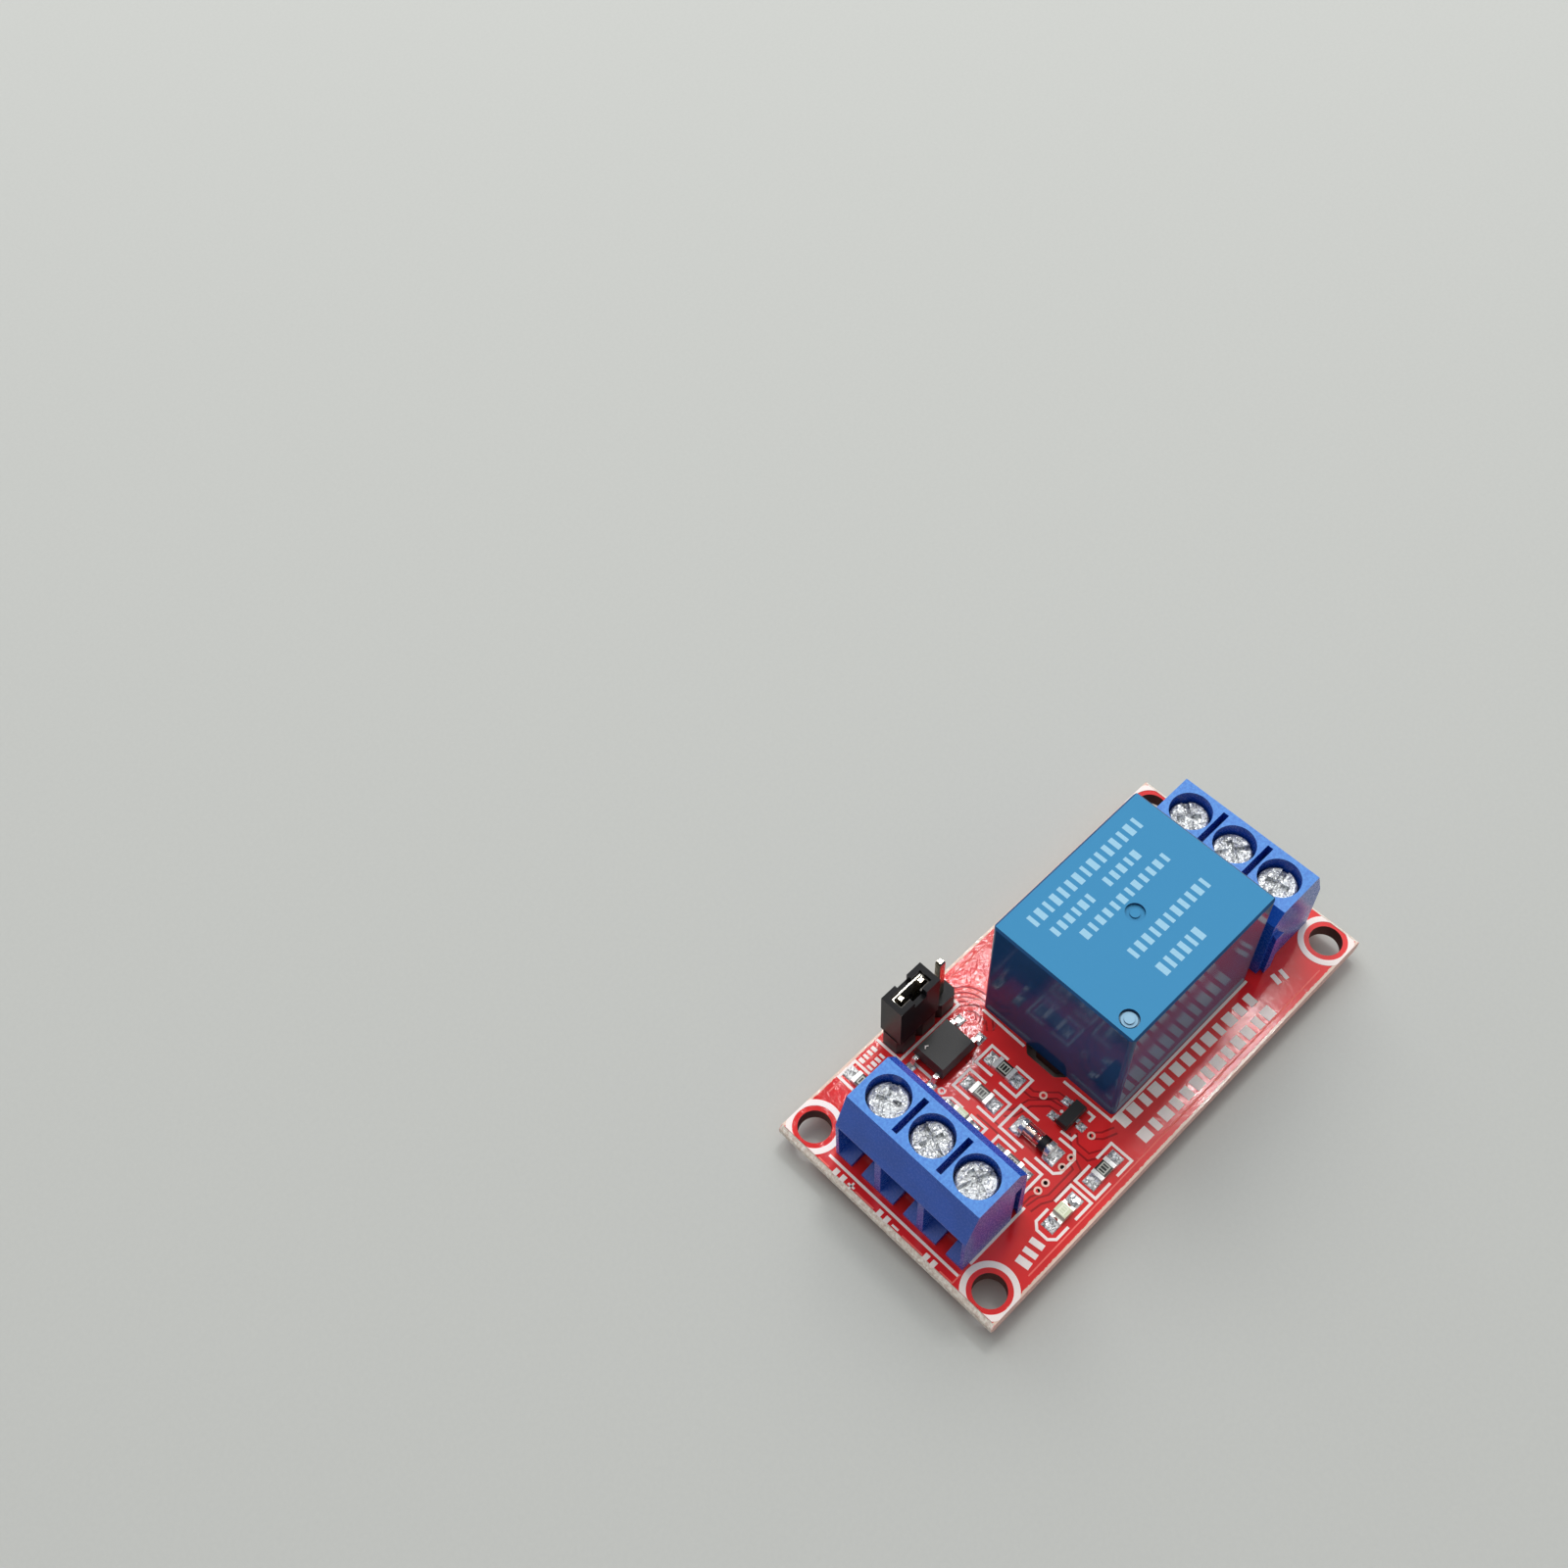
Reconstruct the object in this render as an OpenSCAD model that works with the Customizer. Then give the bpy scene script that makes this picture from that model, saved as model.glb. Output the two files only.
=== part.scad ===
// One-channel relay module board: a circuit board that carries two 3-pole screw terminal
// blocks, a sealed relay, a pin header with a jumper cap, and surface-mounted parts.
//
// Frame: +X along the board towards the output block, +Y along the pin header's side,
// +Z up. The origin is under the middle of the board, at the tips of the trimmed pins.

/* [Board] */
// Length of the circuit board
board_l = 51; // [51:0.5:60]
// Width of the circuit board
board_w = 25.4; // [25.4:0.1:30]
// Thickness of the circuit board
board_t = 1.6; // [1.2:0.1:2]
// Bevel that the panel's scored groove leaves on both short edges
score_w = 0.4; // [0.2:0.1:0.6]
// Diameter of the four mounting holes
hole_d = 3.1; // [2.6:0.1:3.4]
// Distance from a mounting hole's centre to the board's edges
hole_inset = 2.25; // [2.1:0.05:2.6]
// Length of the trimmed pins below the board
tail_l = 1.4; // [1:0.1:2.5]
// Diameter of the vias
via_d = 0.4; // [0.3:0.05:0.6]
// Width of the milled slot round the relay's common pin
slot_w = 1; // [0.8:0.1:1.2]

/* [Terminal blocks] */
// Distance from the middle of the board to the middle of each block
block_x = 19.8; // [19.8:0.1:20]
// Offset of the input block across the board
input_y = -0.1; // [-0.4:0.05:0.4]
// Offset of the output block across the board
output_y = -0.45; // [-0.5:0.05:0.4]
// Distance between neighbouring poles
pole_pitch = 5; // [5:0.02:5.08]
// Depth of a block at its base
block_d = 7.6; // [7.4:0.1:8]
// Height of a block
block_h = 10.2; // [10:0.1:11]
// Height of the front wall's lower edge, above the wire entries
entry_h = 6.35; // [6.3:0.05:6.6]
// Thickness of the tongues in the wire entries
tongue_t = 0.8; // [0.6:0.1:1]
// Width of the ribs between the wire entries
rib_w = 0.7; // [0.6:0.05:0.9]
// Diameter of the screw wells
well_d = 4; // [3.9:0.05:4.2]
// Depth of the screw heads below the top face
screw_recess = 1.1; // [0.9:0.1:1.2]
// Diameter of the terminal screws' heads
head_d = 3.6; // [3.2:0.05:3.7]
// Height of the terminal screws' heads
head_t = 1; // [0.8:0.05:1]
// Diameter of the terminal screws' threads
screw_d = 2.9; // [2.6:0.05:2.9]
// Outer height of the metal cage in each pole
cage_h = 5.4; // [5.2:0.05:5.4]
// Wall of the metal cage
cage_t = 0.6; // [0.5:0.05:0.7]
// Thickness of the cage's threaded roof
roof_t = 1.2; // [1:0.05:1.3]
// Thickness of the wire guard under each screw
guard_t = 0.4; // [0.3:0.05:0.4]
// Distance that the wire guards hang below the cage's roof
guard_drop = 0.55; // [0.55:0.01:0.6]

/* [Relay] */
// Length of the relay
relay_l = 19; // [18.8:0.1:19.2]
// Width of the relay
relay_w = 15.5; // [15.4:0.1:15.6]
// Height of the relay
relay_h = 15.4; // [15.2:0.1:16]
// Place of the relay's middle along the board
relay_x = 5.5; // [5.4:0.05:5.6]
// Place of the relay's middle across the board
relay_y = 0.1; // [-0.2:0.05:0.2]
// Wall of the relay's cover
cover_t = 0.8; // [0.6:0.05:0.9]
// Bevel round the cover's top
cover_bevel = 0.2; // [0.1:0.05:0.4]
// Radius of the cover's upright edges
cover_r = 0.5; // [0.3:0.05:0.8]
// Thickness of the relay's base
base_t = 1.6; // [1.2:0.1:1.8]
// Thickness of the iron yoke
yoke_t = 1; // [0.8:0.05:1.1]
// Width of the iron yoke and armature
yoke_w = 8; // [7:0.1:8.4]
// Thickness of the bobbin's flanges
flange_t = 0.6; // [0.5:0.05:0.7]
// Diameter of the iron core
core_d = 4.6; // [4:0.1:4.8]
// Thickness of the armature
armature_t = 0.9; // [0.7:0.05:0.95]
// Angle through which the armature closes
armature_swing = 2.4; // [2.2:0.1:2.5]
// Diameter of the relay's contacts
contact_d = 2.4; // [2:0.1:2.6]

/* [Header and jumper] */
// Distance between neighbouring header pins
pin_pitch = 2.54; // [2.5:0.01:2.54]
// Side of the square header pins
pin_side = 0.64; // [0.5:0.01:0.66]
// Height of the header's plastic base
header_h = 2.5; // [2.3:0.1:2.7]
// Width of the header's plastic base
header_w = 2.5; // [2.3:0.1:2.54]
// Place of the header's middle along the board
header_x = -9.3; // [-9.4:0.05:-9.2]
// Place of the header's middle across the board
header_y = 10.95; // [10.9:0.05:11.1]
// Height of the jumper cap
cap_h = 6; // [5.6:0.1:6.4]
// Wall of the jumper cap
cap_t = 0.55; // [0.45:0.05:0.6]
// Thickness of the jumper's contact strip
strip_t = 0.15; // [0.1:0.01:0.18]

/* [Surface-mounted parts] */
// Length of the chip resistors and lamps
chip_l = 2; // [1.9:0.05:2.1]
// Width of the chip resistors and lamps
chip_w = 1.25; // [1.15:0.05:1.35]
// Height of the chip resistors
chip_h = 0.5; // [0.4:0.05:0.6]
// Height of the lamps
lamp_h = 0.8; // [0.7:0.05:1.1]
// Length of the glass diode
diode_l = 3.5; // [3.3:0.05:3.7]
// Diameter of the glass diode's end caps
diode_d = 1.5; // [1.4:0.05:1.6]
// Length of the optocoupler's body
opto_l = 4.4; // [4.2:0.05:4.6]
// Width of the optocoupler's body
opto_w = 3.6; // [3.4:0.05:3.8]
// Height of the optocoupler
opto_h = 2.1; // [1.9:0.05:2.3]
// Span of the optocoupler's feet
opto_span = 7; // [6.8:0.05:7.2]
// Length of the transistor's body
sot_l = 2.9; // [2.8:0.05:3]
// Width of the transistor's body
sot_w = 1.3; // [1.2:0.05:1.4]
// Height of the transistor
sot_h = 1.1; // [1:0.05:1.2]
// Span of the transistor's feet
sot_span = 2.5; // [2.4:0.05:2.7]

/* [Hidden] */
$fn = 48;
eps = 0.01;            // overreach of a cut past the face that it opens
seat_gap = 0.05;       // clearance of a piece in its housing
thread_gap = 0.08;     // radial clearance between a screw and its threaded hole
touch_gap = 0.02;      // clearance of two pieces that press on each other
board_z = tail_l;                        // board's underside
top_z = board_z + board_t;               // board's top, which carries everything
hole_x = board_l / 2 - hole_inset;
hole_y = board_w / 2 - hole_inset;

// Vias, and the chips as [x, y, turn about Z] of each middle.
vias = [[-6.8, -2], [-6.7, -7.5], [-9.5, -7.6], [-10.7, -7.6], [-12.8, -7.5], [-13.8, -7.5]];
resistors = [[-7.4, 2.1, 90], [-10.6, 2, 90], [-8.4, -10.3, 0], [-13.6, -4.2, 90], [-17.3, 10.2, 90]];
power_lamp = [-13.8, -10.3, 0];
signal_lamp = [-13.6, 1.9, 90];
diode_at = [-10.4, -4.4, 90];
sot_at = [-6.7, -5.1, 0];
opto_at = [-10.05, 7.05, 0];

// Terminal block, in its own frame: its wire entries face -X and z = 0 is the board's top.
poles = [1, 0, -1];
block_w = len(poles) * pole_pitch;
front_slope = 1.4;                       // how far the top face stands back from the front
back_slope = 1.2;                        // and from the back
shoulder_in = 0.2;
shoulder_drop = 1.5;
cage_in_front = 1.7;                     // wire entry's depth in front of the cage
cage_behind = 1.3;                       // housing's depth behind the cage
top_front = -block_d / 2 + front_slope;
top_back = block_d / 2 - back_slope;
shoulder = [block_d / 2 - shoulder_in, block_h - shoulder_drop];
screw_x = (top_front + top_back) / 2;
cage_x = [-block_d / 2 + cage_in_front, block_d / 2 - cage_behind];
cage_w = 4.2;
cage_top = tongue_t + cage_h;
roof_z = cage_top - roof_t;
pocket_w = pole_pitch - rib_w;
pocket_back = cage_x[1] + 0.5;
pocket_h = cage_top + 0.1;
groove_w = 0.6;                          // grooves in the top face between the poles
groove_depth = 2;
dovetail_w = [0.7, 1.1];                 // width of the dovetail rib at its root and its crest
dovetail_reach = 0.45;
dovetail_x = block_d / 2 - 1.05;
dovetail_h = 6.6;
term_tail = [1, 0.8];
floor_slot_w = 1.2;
head_z = block_h - screw_recess - head_t;
guard_z = roof_z - guard_drop;           // top of the wire guard
guard_w = cage_w - 2 * cage_t - 0.3;
guard_lip = 0.2;
drive_w = 0.6;
drive_depth = 0.5;
screw_turns = [[25, 70, -20], [10, -35, 50]];  // how each screw's slot happens to stand

// Relay, in its own frame: its common pin is at the -X end and z = 0 is the board's top.
foot_h = 0.3;
base_top = foot_h + base_t;
base_l = relay_l - 2 * cover_t - 2 * seat_gap;
base_w = relay_w - 2 * cover_t - 2 * seat_gap;
roof_h = 0.9;
roof_room = 0.4;                         // between the upper contact's carrier and the roof
back_room = 1.4;                         // between the yoke and the cover
front_room = 1.9;                        // between the contacts' middle and the cover
side_room = 0.95;                        // between the side pins' middle and the cover
coil_room = 0.1;                         // between the yoke and the bobbin
contact_room = 1;                        // between the bobbin and the contacts' carriers
lug_room = 0.7;                          // between the side pins' middle and the bobbin
pole_rise = 0.7;                         // from the bobbin's top to the core's pole face
winding_margin = 0.3;
tube_t = 0.7;
pole_d = 7;
pole_t = 0.7;
pole_margin = 0.2;
blade_t = 0.2;
blade_w = 4;
contact_t = 0.45;
carrier_t = 0.4;
carrier_w = 2;
common_pin = [0.4, 1.2];
power_pin = [1.2, 0.5];
coil_pin = 0.6;
lug_l = 1.4;
side_pin_y = relay_w / 2 - cover_t - side_room;
yoke_back = -relay_l / 2 + cover_t + back_room;
common_x = yoke_back - touch_gap - common_pin[0] / 2;
contact_x = relay_l / 2 - cover_t - front_room;
power_pin_x = contact_x - 0.1;
blade_front = contact_x + contact_d / 2;
flange_back = yoke_back + yoke_t + coil_room;
flange_l = contact_x - carrier_w / 2 - contact_room - flange_back;
flange_w = 2 * (side_pin_y - lug_room);
coil_x = flange_back + flange_l / 2;
coil_pin_x = flange_back + lug_l / 2;
winding_d = min(flange_l, flange_w) - 2 * winding_margin;
armature_front = coil_x + pole_d / 2 + pole_margin;
// Heights above the hinge with the armature closed: blade, then what the open contact needs.
blade_over = touch_gap + armature_t + eps;
nc_over = blade_over + blade_t + contact_t + touch_gap
          + sin(armature_swing) * (blade_front - yoke_back);
winding_h = relay_h - roof_h - roof_room - carrier_t - contact_t - nc_over
            - base_top - yoke_t - 2 * flange_t - pole_rise;
coil_z = base_top + yoke_t + flange_t;
hinge_z = coil_z + winding_h + flange_t + pole_rise;
blade_z = hinge_z + blade_over;
nc_z = hinge_z + nc_over;
no_z = blade_z - contact_t - touch_gap;
mark_d = 1.8;                            // round recesses in the cover's top
vent_at = [-relay_l / 2 + 1.5, -relay_w / 2 + 1.7];

// Surface-mounted parts
opto_pitch = 2.54;
glass_d = diode_d - 0.1;
end_cap_l = 0.5;
stud_d = 0.8;

// Header, in its own frame: z = 0 is the board's top.
header_pins_n = [-1, 0, 1];
pin_top = header_h + cap_h;
cap_l = 2 * pin_pitch - 0.13;
cap_w = 2.45;
cap_notch_w = 1.5;
cap_notch_depth = 0.9;

module at_input() translate([-block_x, input_y, top_z]) children();
module at_output() translate([block_x, output_y, top_z]) rotate([0, 0, 180]) children();
module at_relay() translate([relay_x, relay_y, top_z]) children();
module at_header() translate([header_x, header_y, top_z]) children();
module at_jumper() translate([header_x - pin_pitch / 2, header_y, top_z]) children();
module at_place(place, z = top_z)
    translate([place[0], place[1], z]) rotate([0, 0, place[2]]) children();

// ---- shared shapes ----

// A box centred on the Z axis, from z = 0 up.
module centred_box(size) translate([-size[0] / 2, -size[1] / 2, 0]) cube(size);

// A box between two corners.
module span_box(low, high) translate(low) cube(high - low);

// A plate with round upright edges, centred on the Z axis.
module round_plate(l, w, r, h) {
    linear_extrude(h) {
        square([l - 2 * r, w], center = true);
        square([l, w - 2 * r], center = true);
        for (sx = [-1, 1], sy = [-1, 1])
            translate([sx * (l / 2 - r), sy * (w / 2 - r)]) circle(r);
    }
}

// A moulded body: its upper and lower halves both narrow by draft away from the parting line.
module moulded(l, w, h, draft) {
    function half_section(a) = [[-a / 2 + draft, 0], [-a / 2, h / 2], [-a / 2 + draft, h],
                                [a / 2 - draft, h], [a / 2, h / 2], [a / 2 - draft, 0]];
    intersection() {
        translate([0, w / 2, 0]) rotate([90, 0, 0]) linear_extrude(w) polygon(half_section(l));
        translate([-l / 2, 0, 0]) rotate([90, 0, 90]) linear_extrude(l) polygon(half_section(w));
    }
}

// A gull-wing lead that leaves a body at x = 0 and height z, and stands on z = 0 at x = reach.
module gull_lead(reach, z, w, t) {
    knee = reach * 0.35;
    ankle = reach * 0.5;
    translate([0, w / 2, 0]) rotate([90, 0, 0]) linear_extrude(w)
        polygon([[0, z], [0, z + t], [knee, z + t], [ankle + t, t], [reach, t], [reach, 0],
                 [ankle, 0], [knee - t / 2, z]]);
}

// A square pin with pointed ends, from z = low to z = high.
module square_pin(side, low, high) {
    point = side / 3;
    module side_view() translate([0, side / 2, 0]) rotate([90, 0, 0]) linear_extrude(side)
        polygon([[-side / 2 + point / 2, low], [-side / 2, low + point], [-side / 2, high - point],
                 [-side / 2 + point / 2, high], [side / 2 - point / 2, high],
                 [side / 2, high - point], [side / 2, low + point], [side / 2 - point / 2, low]]);
    intersection() {
        side_view();
        rotate([0, 0, 90]) side_view();
    }
}

// A slot milled with a round cutter along straight stretches between points.
module milled_path(points, d, h) {
    linear_extrude(h) {
        for (p = points) translate(p) circle(d / 2);
        for (i = [1 : len(points) - 1]) {
            run = points[i] - points[i - 1];
            translate(points[i - 1]) rotate(atan2(run[1], run[0]))
                translate([0, -d / 2]) square([norm(run), d]);
        }
    }
}

// The places of all soldered pins, each as [x, y, z] of the pin at the board's top.
module each_terminal_pin() {
    for (i = poles) {
        at_input() translate([0, i * pole_pitch, 0]) children();
        at_output() translate([0, i * pole_pitch, 0]) children();
    }
}
module each_relay_side_pin() {
    for (sy = [-1, 1]) {
        at_relay() translate([coil_pin_x, sy * side_pin_y, 0]) children(0);
        at_relay() translate([power_pin_x, sy * side_pin_y, 0]) children(1);
    }
}
module each_header_pin() {
    for (i = header_pins_n) at_header() translate([i * pin_pitch, 0, 0]) children();
}

// ---- circuit board ----

module board_blank() {
    // The scored groove leaves a bevel above and below on both short edges.
    half = board_l / 2;
    translate([0, board_w / 2, board_z]) rotate([90, 0, 0]) linear_extrude(board_w)
        polygon([[-half + score_w, 0], [-half, score_w], [-half, board_t - score_w],
                 [-half + score_w, board_t], [half - score_w, board_t],
                 [half, board_t - score_w], [half, score_w], [half - score_w, 0]]);
}

module pcb() {
    common_at = [relay_x + common_x, relay_y];
    slot_reach = 2.3;
    slot_side = 2.7;
    bend = 1.3;
    module drill(d) translate([0, 0, -board_t - eps]) cylinder(d = d, h = board_t + 2 * eps);
    color([0.76, 0.16, 0.18]) difference() {
        board_blank();
        for (sx = [-1, 1], sy = [-1, 1])
            translate([sx * hole_x, sy * hole_y, top_z]) drill(hole_d);
        for (v = vias) translate([v[0], v[1], top_z]) drill(via_d);
        each_terminal_pin() drill(norm(term_tail) + 0.2);
        each_relay_side_pin() {
            drill(coil_pin * sqrt(2) + 0.2);
            drill(norm(power_pin) + 0.2);
        }
        translate([common_at[0], common_at[1], top_z]) drill(norm(common_pin) + 0.2);
        each_header_pin() drill(pin_side * sqrt(2) + 0.2);
        translate([common_at[0], common_at[1], board_z - eps])
            milled_path([[slot_reach, slot_side], [-slot_reach + bend, slot_side],
                         [-slot_reach, slot_side - bend], [-slot_reach, bend - slot_side],
                         [-slot_reach + bend, -slot_side], [slot_reach, -slot_side]],
                        slot_w, board_t + 2 * eps);
    }
}

// Solder cones round the pins, on the board's underside.
module solder_joints() {
    foot = 0.25;
    rise = 0.75 * tail_l - foot;
    module cone(pad_d, neck_d) translate([0, 0, -board_t]) mirror([0, 0, 1]) {
        cylinder(d = pad_d, h = foot);
        translate([0, 0, foot]) cylinder(d1 = pad_d, d2 = neck_d, h = rise);
    }
    module hole(size) translate([0, 0, -board_t - tail_l])
        centred_box([size[0] + touch_gap, size[1] + touch_gap, tail_l + eps]);
    module joint(size, pad_d) difference() {
        cone(pad_d, norm(size) + 0.3);
        hole(size);
    }
    color([0.8, 0.81, 0.82]) {
        each_terminal_pin() joint(term_tail, 2.4);
        each_relay_side_pin() {
            joint([coil_pin, coil_pin], 2);
            joint(power_pin, 2.4);
        }
        at_relay() translate([common_x, 0, 0]) joint(common_pin, 2.4);
        each_header_pin() joint([pin_side, pin_side], 1.7);
    }
}

// ---- terminal blocks ----

module terminal_profile() {
    polygon([[-block_d / 2, 0], [-block_d / 2, entry_h], [top_front, block_h],
             [top_back, block_h], shoulder, [block_d / 2, 0]]);
}

module terminal_housing() {
    color([0.2, 0.38, 0.8]) {
        difference() {
            translate([0, block_w / 2, 0]) rotate([90, 0, 0])
                linear_extrude(block_w) terminal_profile();
            for (i = poles) translate([0, i * pole_pitch, 0]) pole_cuts();
            for (i = [-1, 1]) translate([(top_front + top_back) / 2, i * pole_pitch / 2, block_h])
                translate([0, 0, -groove_depth])
                    centred_box([top_back - top_front - 1, groove_w, groove_depth + eps]);
            // The dovetail groove at one end takes the rib of the next block. It is deeper than
            // the thin end wall, so that it opens into the end pole's pocket as a slit.
            translate([dovetail_x, -block_w / 2 - eps, -eps])
                linear_extrude(dovetail_h + seat_gap) dovetail(seat_gap);
        }
        translate([dovetail_x, block_w / 2 - eps, 0]) linear_extrude(dovetail_h) dovetail(0);
    }
}

// Section of the dovetail that joins two blocks, grown by gap where it is a groove.
module dovetail(gap) {
    root = dovetail_w[0] / 2 + gap;
    crest = dovetail_w[1] / 2 + gap;
    polygon([[-root, 0], [-crest, dovetail_reach + gap], [crest, dovetail_reach + gap], [root, 0]]);
}

// What is cut out of the housing for one pole.
module pole_cuts() {
    front = -block_d / 2;
    // Wire entry, whose tongues slope down to the front, and the cage's pocket behind it
    translate([0, pocket_w / 2, 0]) rotate([90, 0, 0]) linear_extrude(pocket_w)
        polygon([[front - eps, tongue_t / 2], [cage_x[0] - 0.3, tongue_t], [pocket_back, tongue_t],
                 [pocket_back, pocket_h], [cage_x[0] - 0.6, pocket_h],
                 [front - eps, entry_h - 0.15]]);
    span_box([front - eps, -floor_slot_w / 2, -eps],
             [cage_x[0] + 0.1, floor_slot_w / 2, tongue_t + eps]);
    // Screw well, and the pin's hole in the floor
    translate([screw_x, 0, pocket_h - eps]) cylinder(d = well_d, h = block_h - pocket_h + 2 * eps);
    translate([0, 0, -eps])
        centred_box([term_tail[0] + 0.2, term_tail[1] + 0.2, tongue_t + 2 * eps]);
}

// Tin-plated cages with threaded roofs, each with its soldered pin.
module terminal_cages() {
    cage_l = cage_x[1] - cage_x[0];
    color([0.78, 0.78, 0.76]) for (i = poles) translate([0, i * pole_pitch, 0]) {
        difference() {
            translate([cage_x[0], -cage_w / 2, tongue_t]) cube([cage_l, cage_w, cage_h]);
            translate([cage_x[0] - eps, -cage_w / 2 + cage_t, tongue_t + cage_t])
                cube([cage_l + 2 * eps, cage_w - 2 * cage_t, roof_z - tongue_t - cage_t]);
            translate([screw_x, 0, roof_z - eps])
                cylinder(d = screw_d + 2 * thread_gap, h = roof_t + 2 * eps);
        }
        translate([0, 0, -board_t - tail_l])
            centred_box([term_tail[0], term_tail[1], board_t + tail_l + tongue_t + eps]);
    }
}

// One clamping screw: pan head with a slot and a short cross recess.
module terminal_screw(turn) {
    tip_bevel = 0.3;
    rim_bevel = 0.15;
    color([0.82, 0.83, 0.84]) translate([screw_x, 0, 0]) difference() {
        union() {
            translate([0, 0, head_z]) cylinder(d = head_d, h = head_t - rim_bevel);
            translate([0, 0, head_z + head_t - rim_bevel])
                cylinder(d1 = head_d, d2 = head_d - 2 * rim_bevel, h = rim_bevel);
            translate([0, 0, guard_z + touch_gap + tip_bevel])
                cylinder(d = screw_d, h = head_z - guard_z - touch_gap - tip_bevel + eps);
            translate([0, 0, guard_z + touch_gap])
                cylinder(d1 = screw_d - 2 * tip_bevel, d2 = screw_d, h = tip_bevel);
        }
        translate([0, 0, head_z + head_t - drive_depth]) rotate([0, 0, turn]) {
            centred_box([head_d + eps, drive_w, drive_depth + eps]);
            centred_box([drive_w, head_d * 0.62, drive_depth + eps]);
        }
    }
}

// The wire guard: a plate in the cage, with lips in front of and behind the cage.
module wire_guard() {
    lip_h = 1;
    color([0.8, 0.8, 0.8]) translate([0, -guard_w / 2, guard_z - guard_t]) {
        translate([cage_x[0] - seat_gap, 0, 0])
            cube([cage_x[1] - cage_x[0] + 2 * seat_gap, guard_w, guard_t]);
        for (x = [cage_x[0] - seat_gap - guard_lip, cage_x[1] + seat_gap])
            translate([x, 0, 0]) cube([guard_lip, guard_w, lip_h]);
    }
}

module input_terminal_housing() at_input() terminal_housing();
module output_terminal_housing() at_output() terminal_housing();
module input_terminal_cages() at_input() terminal_cages();
module output_terminal_cages() at_output() terminal_cages();
module at_pole(n) translate([0, poles[n] * pole_pitch, 0]) children();
module input_screw(n) at_input() at_pole(n) terminal_screw(screw_turns[0][n]);
module output_screw(n) at_output() at_pole(n) terminal_screw(screw_turns[1][n]);
module input_guard(n) at_input() at_pole(n) wire_guard();
module output_guard(n) at_output() at_pole(n) wire_guard();

// ---- relay ----

// The cover's top has a round recess with a raised disc in the middle, and another with the
// vent's nub in one corner.
module relay_cover() {
    mark_depth = 0.3;
    vent_depth = 0.5;
    module bevelled(l, w) translate([0, w / 2, 0]) rotate([90, 0, 0]) linear_extrude(w)
        polygon([[-l / 2, 0], [-l / 2, relay_h - cover_bevel], [cover_bevel - l / 2, relay_h],
                 [l / 2 - cover_bevel, relay_h], [l / 2, relay_h - cover_bevel], [l / 2, 0]]);
    color([0.16, 0.42, 0.62]) at_relay() {
        difference() {
            intersection() {
                translate([0, 0, touch_gap])
                    round_plate(relay_l, relay_w, cover_r, relay_h - touch_gap);
                bevelled(relay_l, relay_w);
                rotate([0, 0, 90]) bevelled(relay_w, relay_l);
            }
            centred_box([relay_l - 2 * cover_t, relay_w - 2 * cover_t, relay_h - roof_h]);
            translate([0, 0, relay_h - mark_depth]) cylinder(d = mark_d, h = mark_depth + eps);
            translate([vent_at[0], vent_at[1], relay_h - vent_depth])
                cylinder(d = mark_d, h = vent_depth + eps);
        }
        translate([0, 0, relay_h - mark_depth - eps]) cylinder(d = mark_d / 2, h = mark_depth / 2);
        translate([vent_at[0], vent_at[1], relay_h - vent_depth - eps]) {
            cylinder(d = mark_d * 0.8, h = vent_depth * 0.6);
            cylinder(d = mark_d * 0.5, h = vent_depth * 0.9);
        }
    }
}

module relay_base() {
    foot_d = 1.2;
    foot_inset = 0.7;
    wall = [0.5, base_w - 4, winding_h / 2];
    wall_gap = 0.1;
    module pin_hole(size) translate([0, 0, foot_h - eps])
        centred_box([size[0] + touch_gap, size[1] + touch_gap, base_t + 2 * eps]);
    color([0.12, 0.2, 0.34]) at_relay() {
        difference() {
            translate([0, 0, foot_h]) centred_box([base_l, base_w, base_t]);
            for (sy = [-1, 1]) {
                translate([coil_pin_x, sy * side_pin_y, 0]) pin_hole([coil_pin, coil_pin]);
                translate([power_pin_x, sy * side_pin_y, 0]) pin_hole(power_pin);
            }
            translate([common_x, 0, 0]) pin_hole(common_pin);
        }
        for (sx = [-1, 1], sy = [-1, 1])
            translate([sx * (base_l / 2 - foot_inset), sy * (base_w / 2 - foot_inset), 0])
                cylinder(d = foot_d, h = foot_h + eps);
        // Wall that keeps the contacts' side apart from the coil
        translate([coil_x + flange_l / 2 + wall_gap + wall[0] / 2, 0, base_top - eps])
            centred_box(wall);
    }
}

module relay_bobbin() {
    tube_h = 2 * flange_t + winding_h;
    lug_reach = side_pin_y + coil_pin;
    color([0.9, 0.9, 0.86]) at_relay() difference() {
        union() {
            for (z = [0, flange_t + winding_h])
                translate([coil_x, 0, base_top + yoke_t + z])
                    centred_box([flange_l, flange_w, flange_t]);
            translate([coil_x, 0, base_top + yoke_t]) cylinder(d = core_d + 2 * tube_t, h = tube_h);
            // Bar whose ends stand out of the lower flange and hold the coil's pins
            translate([coil_pin_x, 0, base_top + yoke_t])
                centred_box([lug_l, 2 * lug_reach, flange_t]);
        }
        translate([coil_x, 0, base_top]) cylinder(d = core_d + touch_gap, h = tube_h + yoke_t + eps);
        for (sy = [-1, 1]) translate([coil_pin_x, sy * side_pin_y, base_top])
            centred_box([coil_pin + touch_gap, coil_pin + touch_gap, yoke_t + flange_t + eps]);
    }
}

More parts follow.
